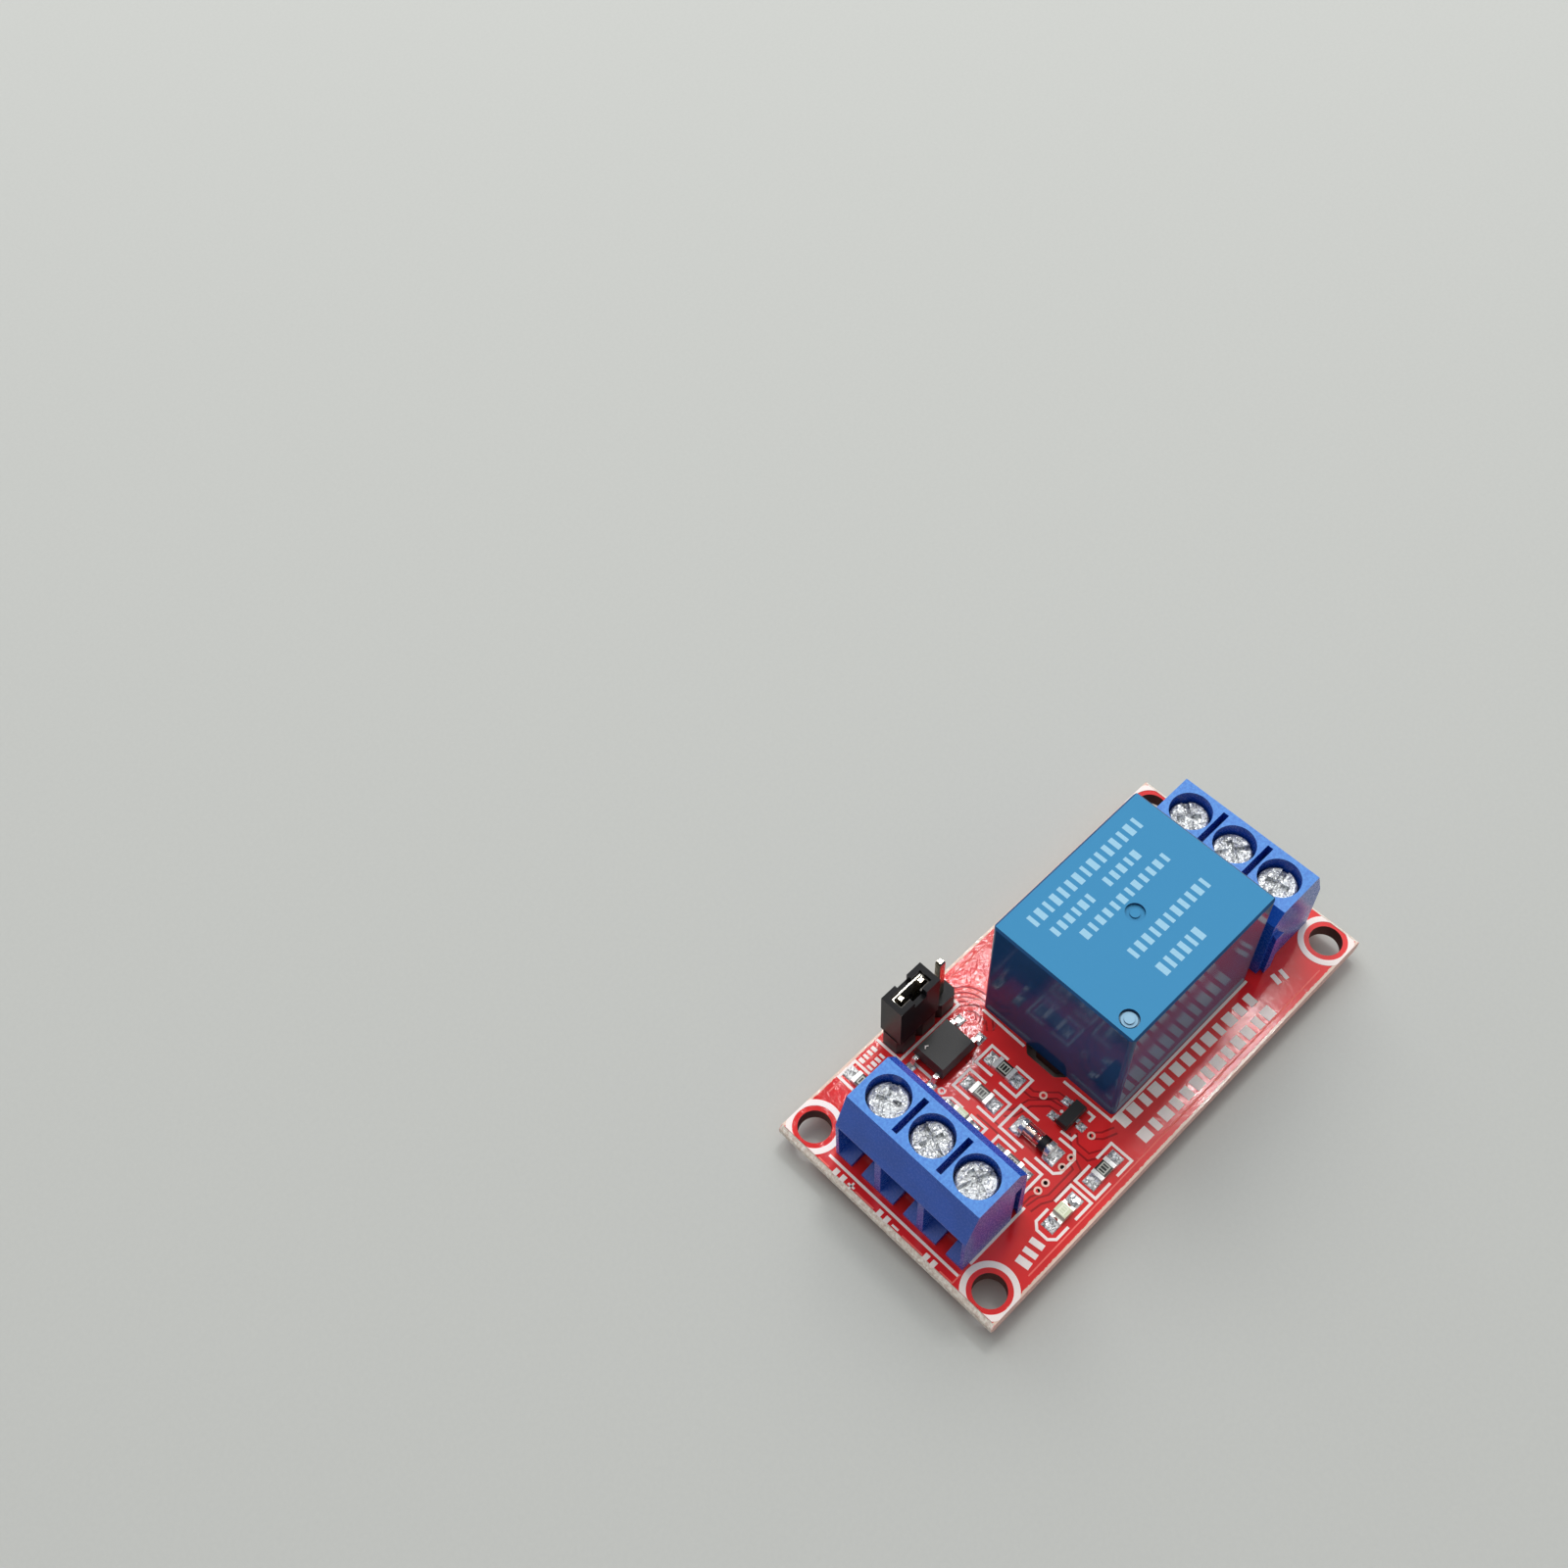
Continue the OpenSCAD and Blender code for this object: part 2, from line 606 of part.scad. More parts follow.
module relay_coil() {
    color([0.72, 0.4, 0.2]) at_relay() translate([coil_x, 0, coil_z + touch_gap]) difference() {
        cylinder(d = winding_d, h = winding_h - 2 * touch_gap);
        translate([0, 0, -eps])
            cylinder(d = core_d + 2 * tube_t + touch_gap, h = winding_h + 2 * eps);
    }
}

// The core's lower end is riveted into the yoke; its head is the pole.
module relay_core() {
    rivet_d = core_d - 1.4;
    color([0.68, 0.69, 0.7]) at_relay() translate([coil_x, 0, 0]) {
        translate([0, 0, base_top]) cylinder(d = rivet_d, h = yoke_t + eps);
        translate([0, 0, base_top + yoke_t])
            cylinder(d = core_d, h = hinge_z - pole_t - base_top - yoke_t + eps);
        translate([0, 0, hinge_z - pole_t + touch_gap]) cylinder(d = pole_d, h = pole_t - touch_gap);
    }
}

// L-shaped yoke: one leg lies under the bobbin, the other rises to the armature's hinge.
module relay_yoke() {
    rivet_d = core_d - 1.4;
    leg_front = coil_x + core_d / 2 + 1.3;
    color([0.7, 0.71, 0.72]) at_relay() difference() {
        translate([0, yoke_w / 2, 0]) rotate([90, 0, 0]) linear_extrude(yoke_w)
            polygon([[yoke_back, base_top], [yoke_back, hinge_z], [yoke_back + yoke_t, hinge_z],
                     [yoke_back + yoke_t, base_top + yoke_t], [leg_front, base_top + yoke_t],
                     [leg_front, base_top]]);
        translate([coil_x, 0, base_top - eps])
            cylinder(d = rivet_d + touch_gap, h = yoke_t + 2 * eps);
    }
}

// Children are drawn as they lie with the armature closed, and swung open about its hinge.
module swung_open() {
    at_relay() translate([yoke_back, 0, hinge_z]) rotate([0, -armature_swing, 0])
        translate([-yoke_back, 0, -hinge_z]) children();
}

module relay_armature() {
    nose_w = yoke_w * 0.6;
    shoulder_x = coil_x + 1;
    color([0.7, 0.71, 0.72]) swung_open() translate([0, 0, hinge_z + touch_gap])
        linear_extrude(armature_t)
            polygon([[yoke_back, -yoke_w / 2], [shoulder_x, -yoke_w / 2],
                     [armature_front, -nose_w / 2], [armature_front, nose_w / 2],
                     [shoulder_x, yoke_w / 2], [yoke_back, yoke_w / 2]]);
}

// The moving spring blade, with the two rivet heads that hold it on the armature.
module relay_blade() {
    tip_w = contact_d + 0.6;
    rivet_d = 1.2;
    color([0.8, 0.55, 0.32]) swung_open()
        translate([0, 0, blade_z]) {
            difference() {
                linear_extrude(blade_t)
                    polygon([[yoke_back, -blade_w / 2], [armature_front, -blade_w / 2],
                             [contact_x - contact_d / 2, -tip_w / 2], [blade_front, -tip_w / 2],
                             [blade_front, tip_w / 2], [contact_x - contact_d / 2, tip_w / 2],
                             [armature_front, blade_w / 2], [yoke_back, blade_w / 2]]);
                translate([contact_x, 0, -eps]) cylinder(d = contact_d / 2, h = blade_t + 2 * eps);
            }
            for (x = [yoke_back + 2, coil_x]) translate([x, 0, blade_t - eps])
                cylinder(d = rivet_d, h = 0.3);
        }
}

// Silver rivet with a contact face above and below the blade.
module relay_moving_contact() {
    color([0.86, 0.87, 0.88]) swung_open() translate([contact_x, 0, 0]) {
        translate([0, 0, blade_z - contact_t]) cylinder(d = contact_d, h = contact_t);
        translate([0, 0, blade_z - eps]) cylinder(d = contact_d / 2 - touch_gap, h = blade_t + 2 * eps);
        translate([0, 0, blade_z + blade_t]) cylinder(d = contact_d, h = contact_t);
    }
}

// Part of the same spring that is riveted to the yoke's back, below the hinge.
module relay_return_leaf() {
    leaf_h = 3.4;
    rivet_d = 1;
    color([0.8, 0.55, 0.32]) at_relay() {
        translate([yoke_back - blade_t - eps, -blade_w / 2, hinge_z - leaf_h])
            cube([blade_t, blade_w, leaf_h - 0.2]);
        for (sy = [-1, 1])
            translate([yoke_back - blade_t, sy * blade_w / 4, hinge_z - leaf_h + 0.9])
                rotate([0, -90, 0]) cylinder(d = rivet_d, h = 0.25);
    }
}

// A fixed contact's carrier: pin, upright beside the coil and arm over the middle.
module contact_carrier(side, arm_low, arm_high) {
    y = side * side_pin_y;
    arm_end = contact_d / 2 + 0.2;
    translate([power_pin_x, y, -board_t - tail_l])
        centred_box([power_pin[0], power_pin[1], board_t + tail_l + arm_high]);
    translate([contact_x - carrier_w / 2, side > 0 ? -arm_end : y - power_pin[1] / 2, arm_low])
        cube([carrier_w, abs(y) + power_pin[1] / 2 + arm_end, arm_high - arm_low]);
}

module relay_contact_no() {
    color([0.78, 0.62, 0.32]) at_relay()
        contact_carrier(1, no_z - contact_t - carrier_t, no_z - contact_t);
}

module relay_contact_nc() {
    color([0.78, 0.62, 0.32]) at_relay()
        contact_carrier(-1, nc_z + contact_t, nc_z + contact_t + carrier_t);
}

// Silver faces of the two fixed contacts.
module relay_contact_tips() {
    color([0.86, 0.87, 0.88]) at_relay() for (z = [no_z - contact_t, nc_z])
        translate([contact_x, 0, z]) cylinder(d = contact_d, h = contact_t);
}

// Common pin, a flat strip up the yoke's back.
module relay_common_pin() {
    strip_top = 6;
    color([0.78, 0.62, 0.32]) at_relay() translate([common_x, 0, -board_t - tail_l])
        centred_box([common_pin[0], common_pin[1], board_t + tail_l + strip_top]);
}

module relay_coil_pins() {
    color([0.8, 0.8, 0.8]) at_relay() for (sy = [-1, 1])
        translate([coil_pin_x, sy * side_pin_y, -board_t - tail_l])
            centred_box([coil_pin, coil_pin, board_t + tail_l + coil_z + 0.8]);
}

// ---- header and jumper ----

module header_base() {
    notch = 0.45;
    half = pin_pitch / 2;
    color([0.07, 0.07, 0.08]) each_header_pin() difference() {
        linear_extrude(header_h)
            polygon([[-half, notch - header_w / 2], [notch - half, -header_w / 2],
                     [half - notch, -header_w / 2], [half, notch - header_w / 2],
                     [half, header_w / 2 - notch], [half - notch, header_w / 2],
                     [notch - half, header_w / 2], [-half, header_w / 2 - notch]]);
        translate([0, 0, -eps])
            centred_box([pin_side + touch_gap, pin_side + touch_gap, header_h + 2 * eps]);
    }
}

module header_pins() {
    color([0.85, 0.72, 0.4]) each_header_pin()
        square_pin(pin_side, -board_t - tail_l, pin_top);
}

// The cap is open above, and its long walls are notched in the middle.
module jumper_cap() {
    well = [cap_l - 2 * cap_t, cap_w - 2 * cap_t];
    color([0.08, 0.08, 0.09]) at_jumper() translate([0, 0, header_h]) difference() {
        centred_box([cap_l, cap_w, cap_h]);
        translate([0, 0, -eps]) centred_box([well[0], well[1], cap_h + 2 * eps]);
        translate([0, 0, cap_h - cap_notch_depth])
            centred_box([cap_notch_w, cap_w + 2 * eps, cap_notch_depth + eps]);
    }
}

// One strip along the cap's far wall, with a folded clip round each of the two pins.
module jumper_contact() {
    strip_l = cap_l - 2 * cap_t - 2 * seat_gap;
    strip_h = cap_h * 0.7;
    strip_z = header_h + cap_h - strip_h - 0.4;
    y_back = cap_w / 2 - cap_t - seat_gap;
    clip_w = 1.25;
    y_front = -y_back;
    color([0.86, 0.76, 0.5]) at_jumper() translate([0, 0, strip_z]) linear_extrude(strip_h) {
        translate([-strip_l / 2, y_back - strip_t]) square([strip_l, strip_t]);
        for (sx = [-1, 1]) {
            translate([sx * (strip_l - strip_t) / 2 - strip_t / 2, y_front])
                square([strip_t, y_back - y_front]);
            translate([sx * (strip_l - clip_w) / 2 - clip_w / 2, y_front])
                square([clip_w, strip_t]);
        }
    }
}

// ---- surface-mounted parts ----

module optocoupler_body() {
    standoff = 0.1;
    color([0.1, 0.1, 0.11]) at_place(opto_at) translate([0, 0, standoff]) difference() {
        moulded(opto_l, opto_w, opto_h - standoff, 0.22);
        translate([-opto_l / 2 + 0.8, opto_w / 2 - 0.8, opto_h - standoff - 0.08])
            cylinder(d = 0.6, h = 1);
    }
}

module optocoupler_leads() {
    lead_w = 0.45;
    lead_t = 0.2;
    reach = (opto_span - opto_l) / 2;
    lead_z = opto_h / 2 - lead_t / 2;
    color([0.8, 0.8, 0.8]) at_place(opto_at) for (sx = [-1, 1], sy = [-1, 1])
        translate([sx * (opto_l / 2 + touch_gap), sy * opto_pitch / 2, 0])
            rotate([0, 0, sx > 0 ? 0 : 180]) gull_lead(reach, lead_z, lead_w, lead_t);
}

module transistor_body() {
    standoff = 0.08;
    color([0.1, 0.1, 0.11]) at_place(sot_at) translate([0, 0, standoff])
        moulded(sot_l, sot_w, sot_h - standoff, 0.12);
}

module transistor_leads() {
    lead_w = 0.42;
    lead_t = 0.14;
    lead_pitch = 0.95;
    reach = (sot_span - sot_w) / 2;
    lead_z = sot_h / 2 - lead_t / 2;
    color([0.8, 0.8, 0.8]) at_place(sot_at) for (lead = [[-lead_pitch, 1], [lead_pitch, 1], [0, -1]])
        translate([lead[0], lead[1] * (sot_w / 2 + touch_gap), 0])
            rotate([0, 0, lead[1] * 90]) gull_lead(reach, lead_z, lead_w, lead_t);
}

// Glass tube of the diode, between two metal caps whose studs meet on the crystal.
module diode_glass() {
    glass_l = diode_l - 2 * end_cap_l;
    color([0.75, 0.3, 0.2, 0.5]) at_place(diode_at, top_z + diode_d / 2)
        translate([-glass_l / 2, 0, 0]) rotate([0, 90, 0]) difference() {
            cylinder(d = glass_d, h = glass_l);
            translate([0, 0, -eps]) cylinder(d = stud_d + touch_gap, h = glass_l + 2 * eps);
        }
}

module diode_end_caps() {
    crystal_gap = 0.25;
    color([0.8, 0.8, 0.8]) at_place(diode_at, top_z + diode_d / 2) for (sx = [-1, 1])
        rotate([0, sx * 90, 0]) {
            translate([0, 0, diode_l / 2 - end_cap_l + touch_gap])
                cylinder(d = diode_d, h = end_cap_l - touch_gap);
            translate([0, 0, crystal_gap])
                cylinder(d = stud_d, h = diode_l / 2 - end_cap_l - crystal_gap + 2 * touch_gap);
        }
}

// A chip resistor: ceramic body whose metal ends stand a little proud.
module chip_resistor(n) {
    end_l = 0.4;
    proud = 0.03;
    color([0.12, 0.12, 0.13]) at_place(resistors[n]) {
        translate([0, 0, proud])
            centred_box([chip_l - 2 * proud, chip_w - 2 * proud, chip_h - 2 * proud]);
        for (sx = [-1, 1]) translate([sx * (chip_l - end_l) / 2, 0, 0])
            centred_box([end_l, chip_w, chip_h]);
    }
}

// A chip lamp: base plate with half-round notches in its ends, and a lens with sloped ends.
module chip_lamp(place) {
    plate_t = 0.3;
    notch_d = 0.5;
    lens_l = chip_l * 0.62;
    color([0.9, 0.93, 0.85]) at_place(place) {
        difference() {
            centred_box([chip_l, chip_w, plate_t]);
            for (sx = [-1, 1]) translate([sx * chip_l / 2, 0, -eps])
                cylinder(d = notch_d, h = plate_t + 2 * eps);
        }
        translate([0, chip_w / 2, plate_t - eps]) rotate([90, 0, 0]) linear_extrude(chip_w)
            polygon([[-lens_l / 2, 0], [-lens_l / 2 + 0.1, lamp_h - plate_t],
                     [lens_l / 2 - 0.1, lamp_h - plate_t], [lens_l / 2, 0]]);
    }
}

pcb();
solder_joints();
input_terminal_housing();
output_terminal_housing();
input_terminal_cages();
output_terminal_cages();
input_screw(0);  // input_screw_1
input_screw(1);  // input_screw_2
input_screw(2);  // input_screw_3
output_screw(0);  // output_screw_1
output_screw(1);  // output_screw_2
output_screw(2);  // output_screw_3
input_guard(0);  // input_wire_guard_1
input_guard(1);  // input_wire_guard_2
input_guard(2);  // input_wire_guard_3
output_guard(0);  // output_wire_guard_1
output_guard(1);  // output_wire_guard_2
output_guard(2);  // output_wire_guard_3
relay_cover();
relay_base();
relay_bobbin();
relay_coil();
relay_core();
relay_yoke();
relay_armature();
relay_blade();
relay_moving_contact();
relay_return_leaf();
relay_contact_no();
relay_contact_nc();
relay_contact_tips();
relay_common_pin();
relay_coil_pins();
header_base();
header_pins();
jumper_cap();
jumper_contact();
optocoupler_body();
optocoupler_leads();
transistor_body();
transistor_leads();
diode_glass();
diode_end_caps();
chip_resistor(0);  // resistor_1
chip_resistor(1);  // resistor_2
chip_resistor(2);  // resistor_3
chip_resistor(3);  // resistor_4
chip_resistor(4);  // resistor_5
chip_lamp(power_lamp);
chip_lamp(signal_lamp);
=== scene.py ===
"""Looks of a one-channel relay module board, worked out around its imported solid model."""

import math

import bpy
import numpy as np
from mathutils import Matrix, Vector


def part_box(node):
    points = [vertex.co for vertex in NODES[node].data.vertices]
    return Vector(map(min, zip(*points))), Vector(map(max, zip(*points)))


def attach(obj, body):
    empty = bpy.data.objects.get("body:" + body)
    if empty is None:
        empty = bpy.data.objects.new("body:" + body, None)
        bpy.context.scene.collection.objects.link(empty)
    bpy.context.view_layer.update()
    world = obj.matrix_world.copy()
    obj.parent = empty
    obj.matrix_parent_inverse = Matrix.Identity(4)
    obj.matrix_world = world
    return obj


bl_info = {
    "name": "Relay module board",
    "version": (1, 0, 0),
    "blender": (4, 5, 0),
    "location": "3D Viewport > Sidebar > Relay board",
    "description": "Dresses the relay module board and sets its stage",
    "category": "Object",
}

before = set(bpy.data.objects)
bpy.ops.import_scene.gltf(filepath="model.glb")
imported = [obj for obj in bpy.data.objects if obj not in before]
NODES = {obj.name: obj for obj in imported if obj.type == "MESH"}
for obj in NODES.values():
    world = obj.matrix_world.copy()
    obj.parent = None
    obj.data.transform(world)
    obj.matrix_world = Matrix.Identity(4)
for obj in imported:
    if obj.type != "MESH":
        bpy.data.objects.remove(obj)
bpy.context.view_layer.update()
# Lengths and places are in millimetres, unless a comment or a property's unit says otherwise.
MM = 0.001
BOARD = "board"


def node_box(name):
    """Lowest and highest corner of a solid, in millimetres."""
    low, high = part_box(name)
    return np.array(low) / MM, np.array(high) / MM


BOARD_LOW, BOARD_HIGH = node_box("pcb")
TOP = float(BOARD_HIGH[2])
RELAY_LOW, RELAY_HIGH = node_box("relay_cover")


# ---- shader nodes ----


class Value:
    """One shader socket. Arithmetic on it adds Math nodes to its tree."""

    def __init__(self, owner, socket):
        self.owner = owner
        self.socket = socket

    def math(self, operation, *others):
        inputs = dict(enumerate((self,) + others))
        return self.owner.node("ShaderNodeMath", {"operation": operation}, inputs)

    def __add__(self, other):
        return self.math("ADD", other)

    def __sub__(self, other):
        return self.math("SUBTRACT", other)

    def __rsub__(self, other):
        return self.owner.node("ShaderNodeMath", {"operation": "SUBTRACT"}, {0: other, 1: self})

    def __mul__(self, other):
        return self.math("MULTIPLY", other)

    def __gt__(self, other):
        return self.math("GREATER_THAN", other)

    def __lt__(self, other):
        return self.math("LESS_THAN", other)

    def __abs__(self):
        return self.math("ABSOLUTE")

    def smooth(self, low, high, bottom=0.0, top=1.0):
        """Smooth step from bottom at low to top at high."""
        return self.owner.node(
            "ShaderNodeMapRange",
            {"interpolation_type": "SMOOTHSTEP"},
            {"Value": self, "From Min": low, "From Max": high, "To Min": bottom, "To Max": top},
        )


class NodeTree:
    """A shader tree that starts empty."""

    def __init__(self, tree):
        self.tree = tree
        self.tree.nodes.clear()

    def node(self, kind, settings=None, inputs=None, output=0):
        """Makes a node, applies its settings, then sets or links its sockets."""
        item = self.tree.nodes.new(kind)
        for key, value in (settings or {}).items():
            setattr(item, key, value)
        for key, value in (inputs or {}).items():
            if isinstance(value, Value):
                self.tree.links.new(value.socket, item.inputs[key])
            else:
                item.inputs[key].default_value = value
        return Value(self, item.outputs[output]) if item.outputs else None


class Finish(NodeTree):
    """A procedural material."""

    def __init__(self, name):
        self.material = bpy.data.materials.new(name)
        self.material.use_nodes = True
        super().__init__(self.material.node_tree)

    def place(self):
        """Object coordinates in millimetres."""
        at = self.node("ShaderNodeTexCoord", output="Object")
        return self.node("ShaderNodeVectorMath", {"operation": "SCALE"}, {0: at, "Scale": 1 / MM})

    def split(self, vector):
        """The three parts of a vector."""
        first = self.node("ShaderNodeSeparateXYZ", None, {0: vector})
        return [Value(self, first.socket.node.outputs[i]) for i in range(3)]

    def up_face(self, low, high):
        """0 on walls and 1 on level faces, with a smooth step while the size of the normal's
        upright part goes from low to high."""
        normal = self.node("ShaderNodeNewGeometry", output="Normal")
        return abs(self.split(normal)[2]).smooth(low, high)

    def noise(self, scale, detail=3.0, roughness=0.5, distortion=0.0):
        """Noise of about scale lumps in a millimetre, from 0 to 1."""
        inputs = {
            "Vector": self.place(),
            "Scale": scale,
            "Detail": detail,
            "Roughness": roughness,
            "Distortion": distortion,
        }
        return self.node("ShaderNodeTexNoise", None, inputs)

    def mix(self, factor, first, second):
        """Colour between first, at 0, and second, at 1."""
        first = first if isinstance(first, Value) else (*first, 1)
        second = second if isinstance(second, Value) else (*second, 1)
        inputs = {0: factor, 6: first, 7: second}
        return self.node("ShaderNodeMix", {"data_type": "RGBA"}, inputs, output=2)

    def drift(self, noise, colour, share, low=0.3, high=0.7):
        """The colour where the noise is above high, and that share of it where it is below low."""
        return self.mix(noise.smooth(low, high), dimmed(colour, share), colour)

    def bump(self, height, depth, strength):
        """Normal of a relief: height from 0 to 1, depth in millimetres."""
        inputs = {"Height": height, "Distance": depth * MM, "Strength": strength}
        return self.node("ShaderNodeBump", None, inputs)

    def surface(self, **sockets):
        """Ends the finish in a Principled shader with these sockets."""
        names = {
            key.replace("_", " ").title().replace("Ior", "IOR"): value
            for key, value in sockets.items()
        }
        shader = self.node("ShaderNodeBsdfPrincipled", None, names)
        self.node("ShaderNodeOutputMaterial", None, {"Surface": shader})
        return self.material


def tone(red, green, blue):
    """A colour given as it shows on a screen, 0 to 255, turned to linear light."""
    parts = np.array([red, green, blue]) / 255
    linear = np.where(parts < 0.04045, parts / 12.92, ((parts + 0.055) / 1.055) ** 2.4)
    return tuple(float(v) for v in linear)


def dimmed(colour, share):
    """A colour with this share of its light."""
    return tuple(share * v for v in colour)


# ---- finishes ----


def board_finish(name, settings, shade=1.0):
    """Glossy lacquer on the two faces, pale rough laminate on the cut sides, and laminate in the
    holes darkened to a reddish brown as painted shade. The lacquer ripples beside the header and is
    grainy along the text."""
    f = Finish(name)
    x, y, z = f.split(f.place())
    half_x, half_y, half_z = (float(v) for v in (BOARD_HIGH - BOARD_LOW) / 2)
    flat = f.up_face(0.9, 0.97)
    layers = f.noise(2.6, 5, 0.75)
    red = f.drift(f.noise(0.22, 2), dimmed(settings.lacquer, shade), 0.82, 0.35)
    # How far a point is past the outline: below zero on the board, and well below in the holes.
    past = (abs(x) - half_x).math("MAXIMUM", abs(y) - half_y)
    outer = past.smooth(-0.5, -0.3)
    bare = (past + layers * 0.3).smooth(-0.14, -0.06)
    raw = f.mix(layers.smooth(0.3, 0.7), tone(206, 182, 166), tone(255, 250, 240))
    # The lacquer's light tints the long cut sides, most within 0.3 mm of the two faces.
    skin = (abs(z - (TOP - half_z)) - (half_z - 0.3)).smooth(0.0, 0.2)
    long_side = (abs(y) - half_y).smooth(-0.1, -0.05)
    side = f.mix((skin * 0.4 + 0.26) * long_side, raw, tone(255, 120, 112))
    # Painted shade: the walls of the holes are a dark reddish brown instead of the pale laminate.
    side = f.mix(outer, tone(96, 46, 38), side)
    by_header = y.smooth(3, 8) * (0 - x).smooth(-2, 2)
    by_text = (0 - y).smooth(7.5, 9.5) * x.smooth(1, 6) * (1 - x.smooth(10, 15))
    ripple = f.noise(1.5, 3, 0.6, distortion=1.5) * (by_header * 1.1 + 0.15)
    weave = f.noise(3.0, 3, 0.75)
    wavy = ripple + weave * (by_text * 0.6 + 0.03)
    relief = wavy * flat + layers * (1 - flat) * 2
    return f.surface(
        base_color=f.mix(flat, side, f.mix(bare, red, tone(232, 204, 186))),
        roughness=(1 - flat) * 0.6 + weave * 0.04 + 0.07,
        normal=f.bump(relief, 0.045, 0.6),
        specular_ior_level=0.55,
    )


def print_finish(name, colour):
    """Matt ink with a faint grain."""
    f = Finish(name)
    grain = f.noise(9.0, 3, 0.6)
    base = f.drift(grain, colour, 0.93, 0.2, 0.6)
    return f.surface(base_color=base, roughness=0.55, normal=f.bump(grain, 0.01, 0.5))


def metal_finish(name, colour, rough, lump, depth, hollow_shade_share=0.7, crease_shade=0.0, frost=0.0):
    """Bright metal: a slow wave, of lump waves in a millimetre, and a fine grain move its relief
    and its polish, between the two values of rough. The hollows keep only a share of the colour,
    which paints shade in them. Creases darken the lines between lumps as painted shade, and frost
    gives part of the metal's shine to a plain pale surface."""
    f = Finish(name)
    wave = f.noise(lump, 2 if crease_shade else 3, 0.55, distortion=0.4)
    grain = f.noise(lump * 7, 3, 0.6)
    fine = 0.03 if crease_shade else 0.2
    # Painted shade: the colour drops to the given share in the hollows of the relief.
    base = f.drift(wave, colour, hollow_shade_share)
    if crease_shade:
        # Painted shade: dark lines along the creases between lumps.
        line = abs(f.noise(lump * 1.6, 1, distortion=0.8) - 0.5).smooth(0.0, 0.09)
        base = f.mix((1 - line) * crease_shade, base, dimmed(colour, 0.12))
    return f.surface(
        base_color=base,
        metallic=1 - frost,
        roughness=grain * (rough[1] - rough[0]) + rough[0],
        normal=f.bump(wave * (1 - fine) + grain * fine, depth, 0.8),
    )


def plastic_finish(name, colour, rough, grain_scale=6.0, depth=0.012, shine=0.5):
    """Moulded plastic: fine spark-eroded grain and a slow change of tone."""
    f = Finish(name)
    grain = f.noise(grain_scale, 4, 0.6)
    return f.surface(
        base_color=f.drift(f.noise(0.35, 2), colour, 0.88),
        roughness=grain * 0.12 + rough - 0.06,
        specular_ior_level=shine,
        normal=f.bump(grain, depth, 0.6),
    )


def block_finish(settings):
    """Blue polyamide: half-gloss walls, and a paler crown where it faces up: painted light, with
    pale scuffs on it.
    """
    f = Finish("terminal_block_polyamide")
    z = f.split(f.place())[2]
    crown = float(node_box("input_terminal_housing")[1][2])
    # Painted light: upward faces take at least about half of the paler top colour; the scuff noise adds
    # pale wear over that.
    up = f.up_face(0.6, 0.98) * z.smooth(crown - 0.6, crown - 0.3)
    grain = f.noise(5.0, 4, 0.6)
    base = f.drift(f.noise(0.3, 2), settings.plastic, 0.85)
    scuff = f.noise(3.4, 5, 0.75).smooth(0.35, 0.65) * 0.55 + 0.45
    return f.surface(
        base_color=f.mix(up * scuff, base, settings.top),
        roughness=grain * 0.1 + up * 0.14 + 0.22,
        normal=f.bump(grain, 0.015, 0.55),
    )


def relay_finish(settings):
    """Glossy sides in a darker blue as painted shade, a finely matt top in a paler blue as painted
    light, and a painted highlight on the nub in the vent's recess.
    """
    f = Finish("relay_cover_plastic")
    x, y, z = f.split(f.place())
    top = float(RELAY_HIGH[2])
    rounding, recess, vent_inset, vent_reach = 0.7, 0.02, 1.6, 1.3
    vent_x, vent_y = (float(v) + vent_inset for v in RELAY_LOW[:2])
    up = f.up_face(0.85, 0.97) * (z > top - rounding)
    from_vent = (abs(x - vent_x) + abs(y - vent_y)) * up
    # Painted highlight: the nub in the vent's recess is mixed halfway to pale blue.
    nub = (z < top - recess) * (from_vent < vent_reach) * up
    grain = f.noise(11.0, 3, 0.65)
    slow = f.noise(0.16, 2)
    # Painted shade and light: the sides take a darker copy of the blue and the top a paler one.
    side = f.drift(slow, settings.shaded_side_colour, 0.8, 0.35)
    return f.surface(
        base_color=f.mix(nub * 0.5, f.mix(up, side, settings.lit_top_colour), tone(196, 226, 240)),
        roughness=up * 0.34 + grain * 0.05 + 0.07,
        specular_ior_level=0.14,
        normal=f.bump(grain * up + slow * 0.15, 0.012, 0.5),
    )


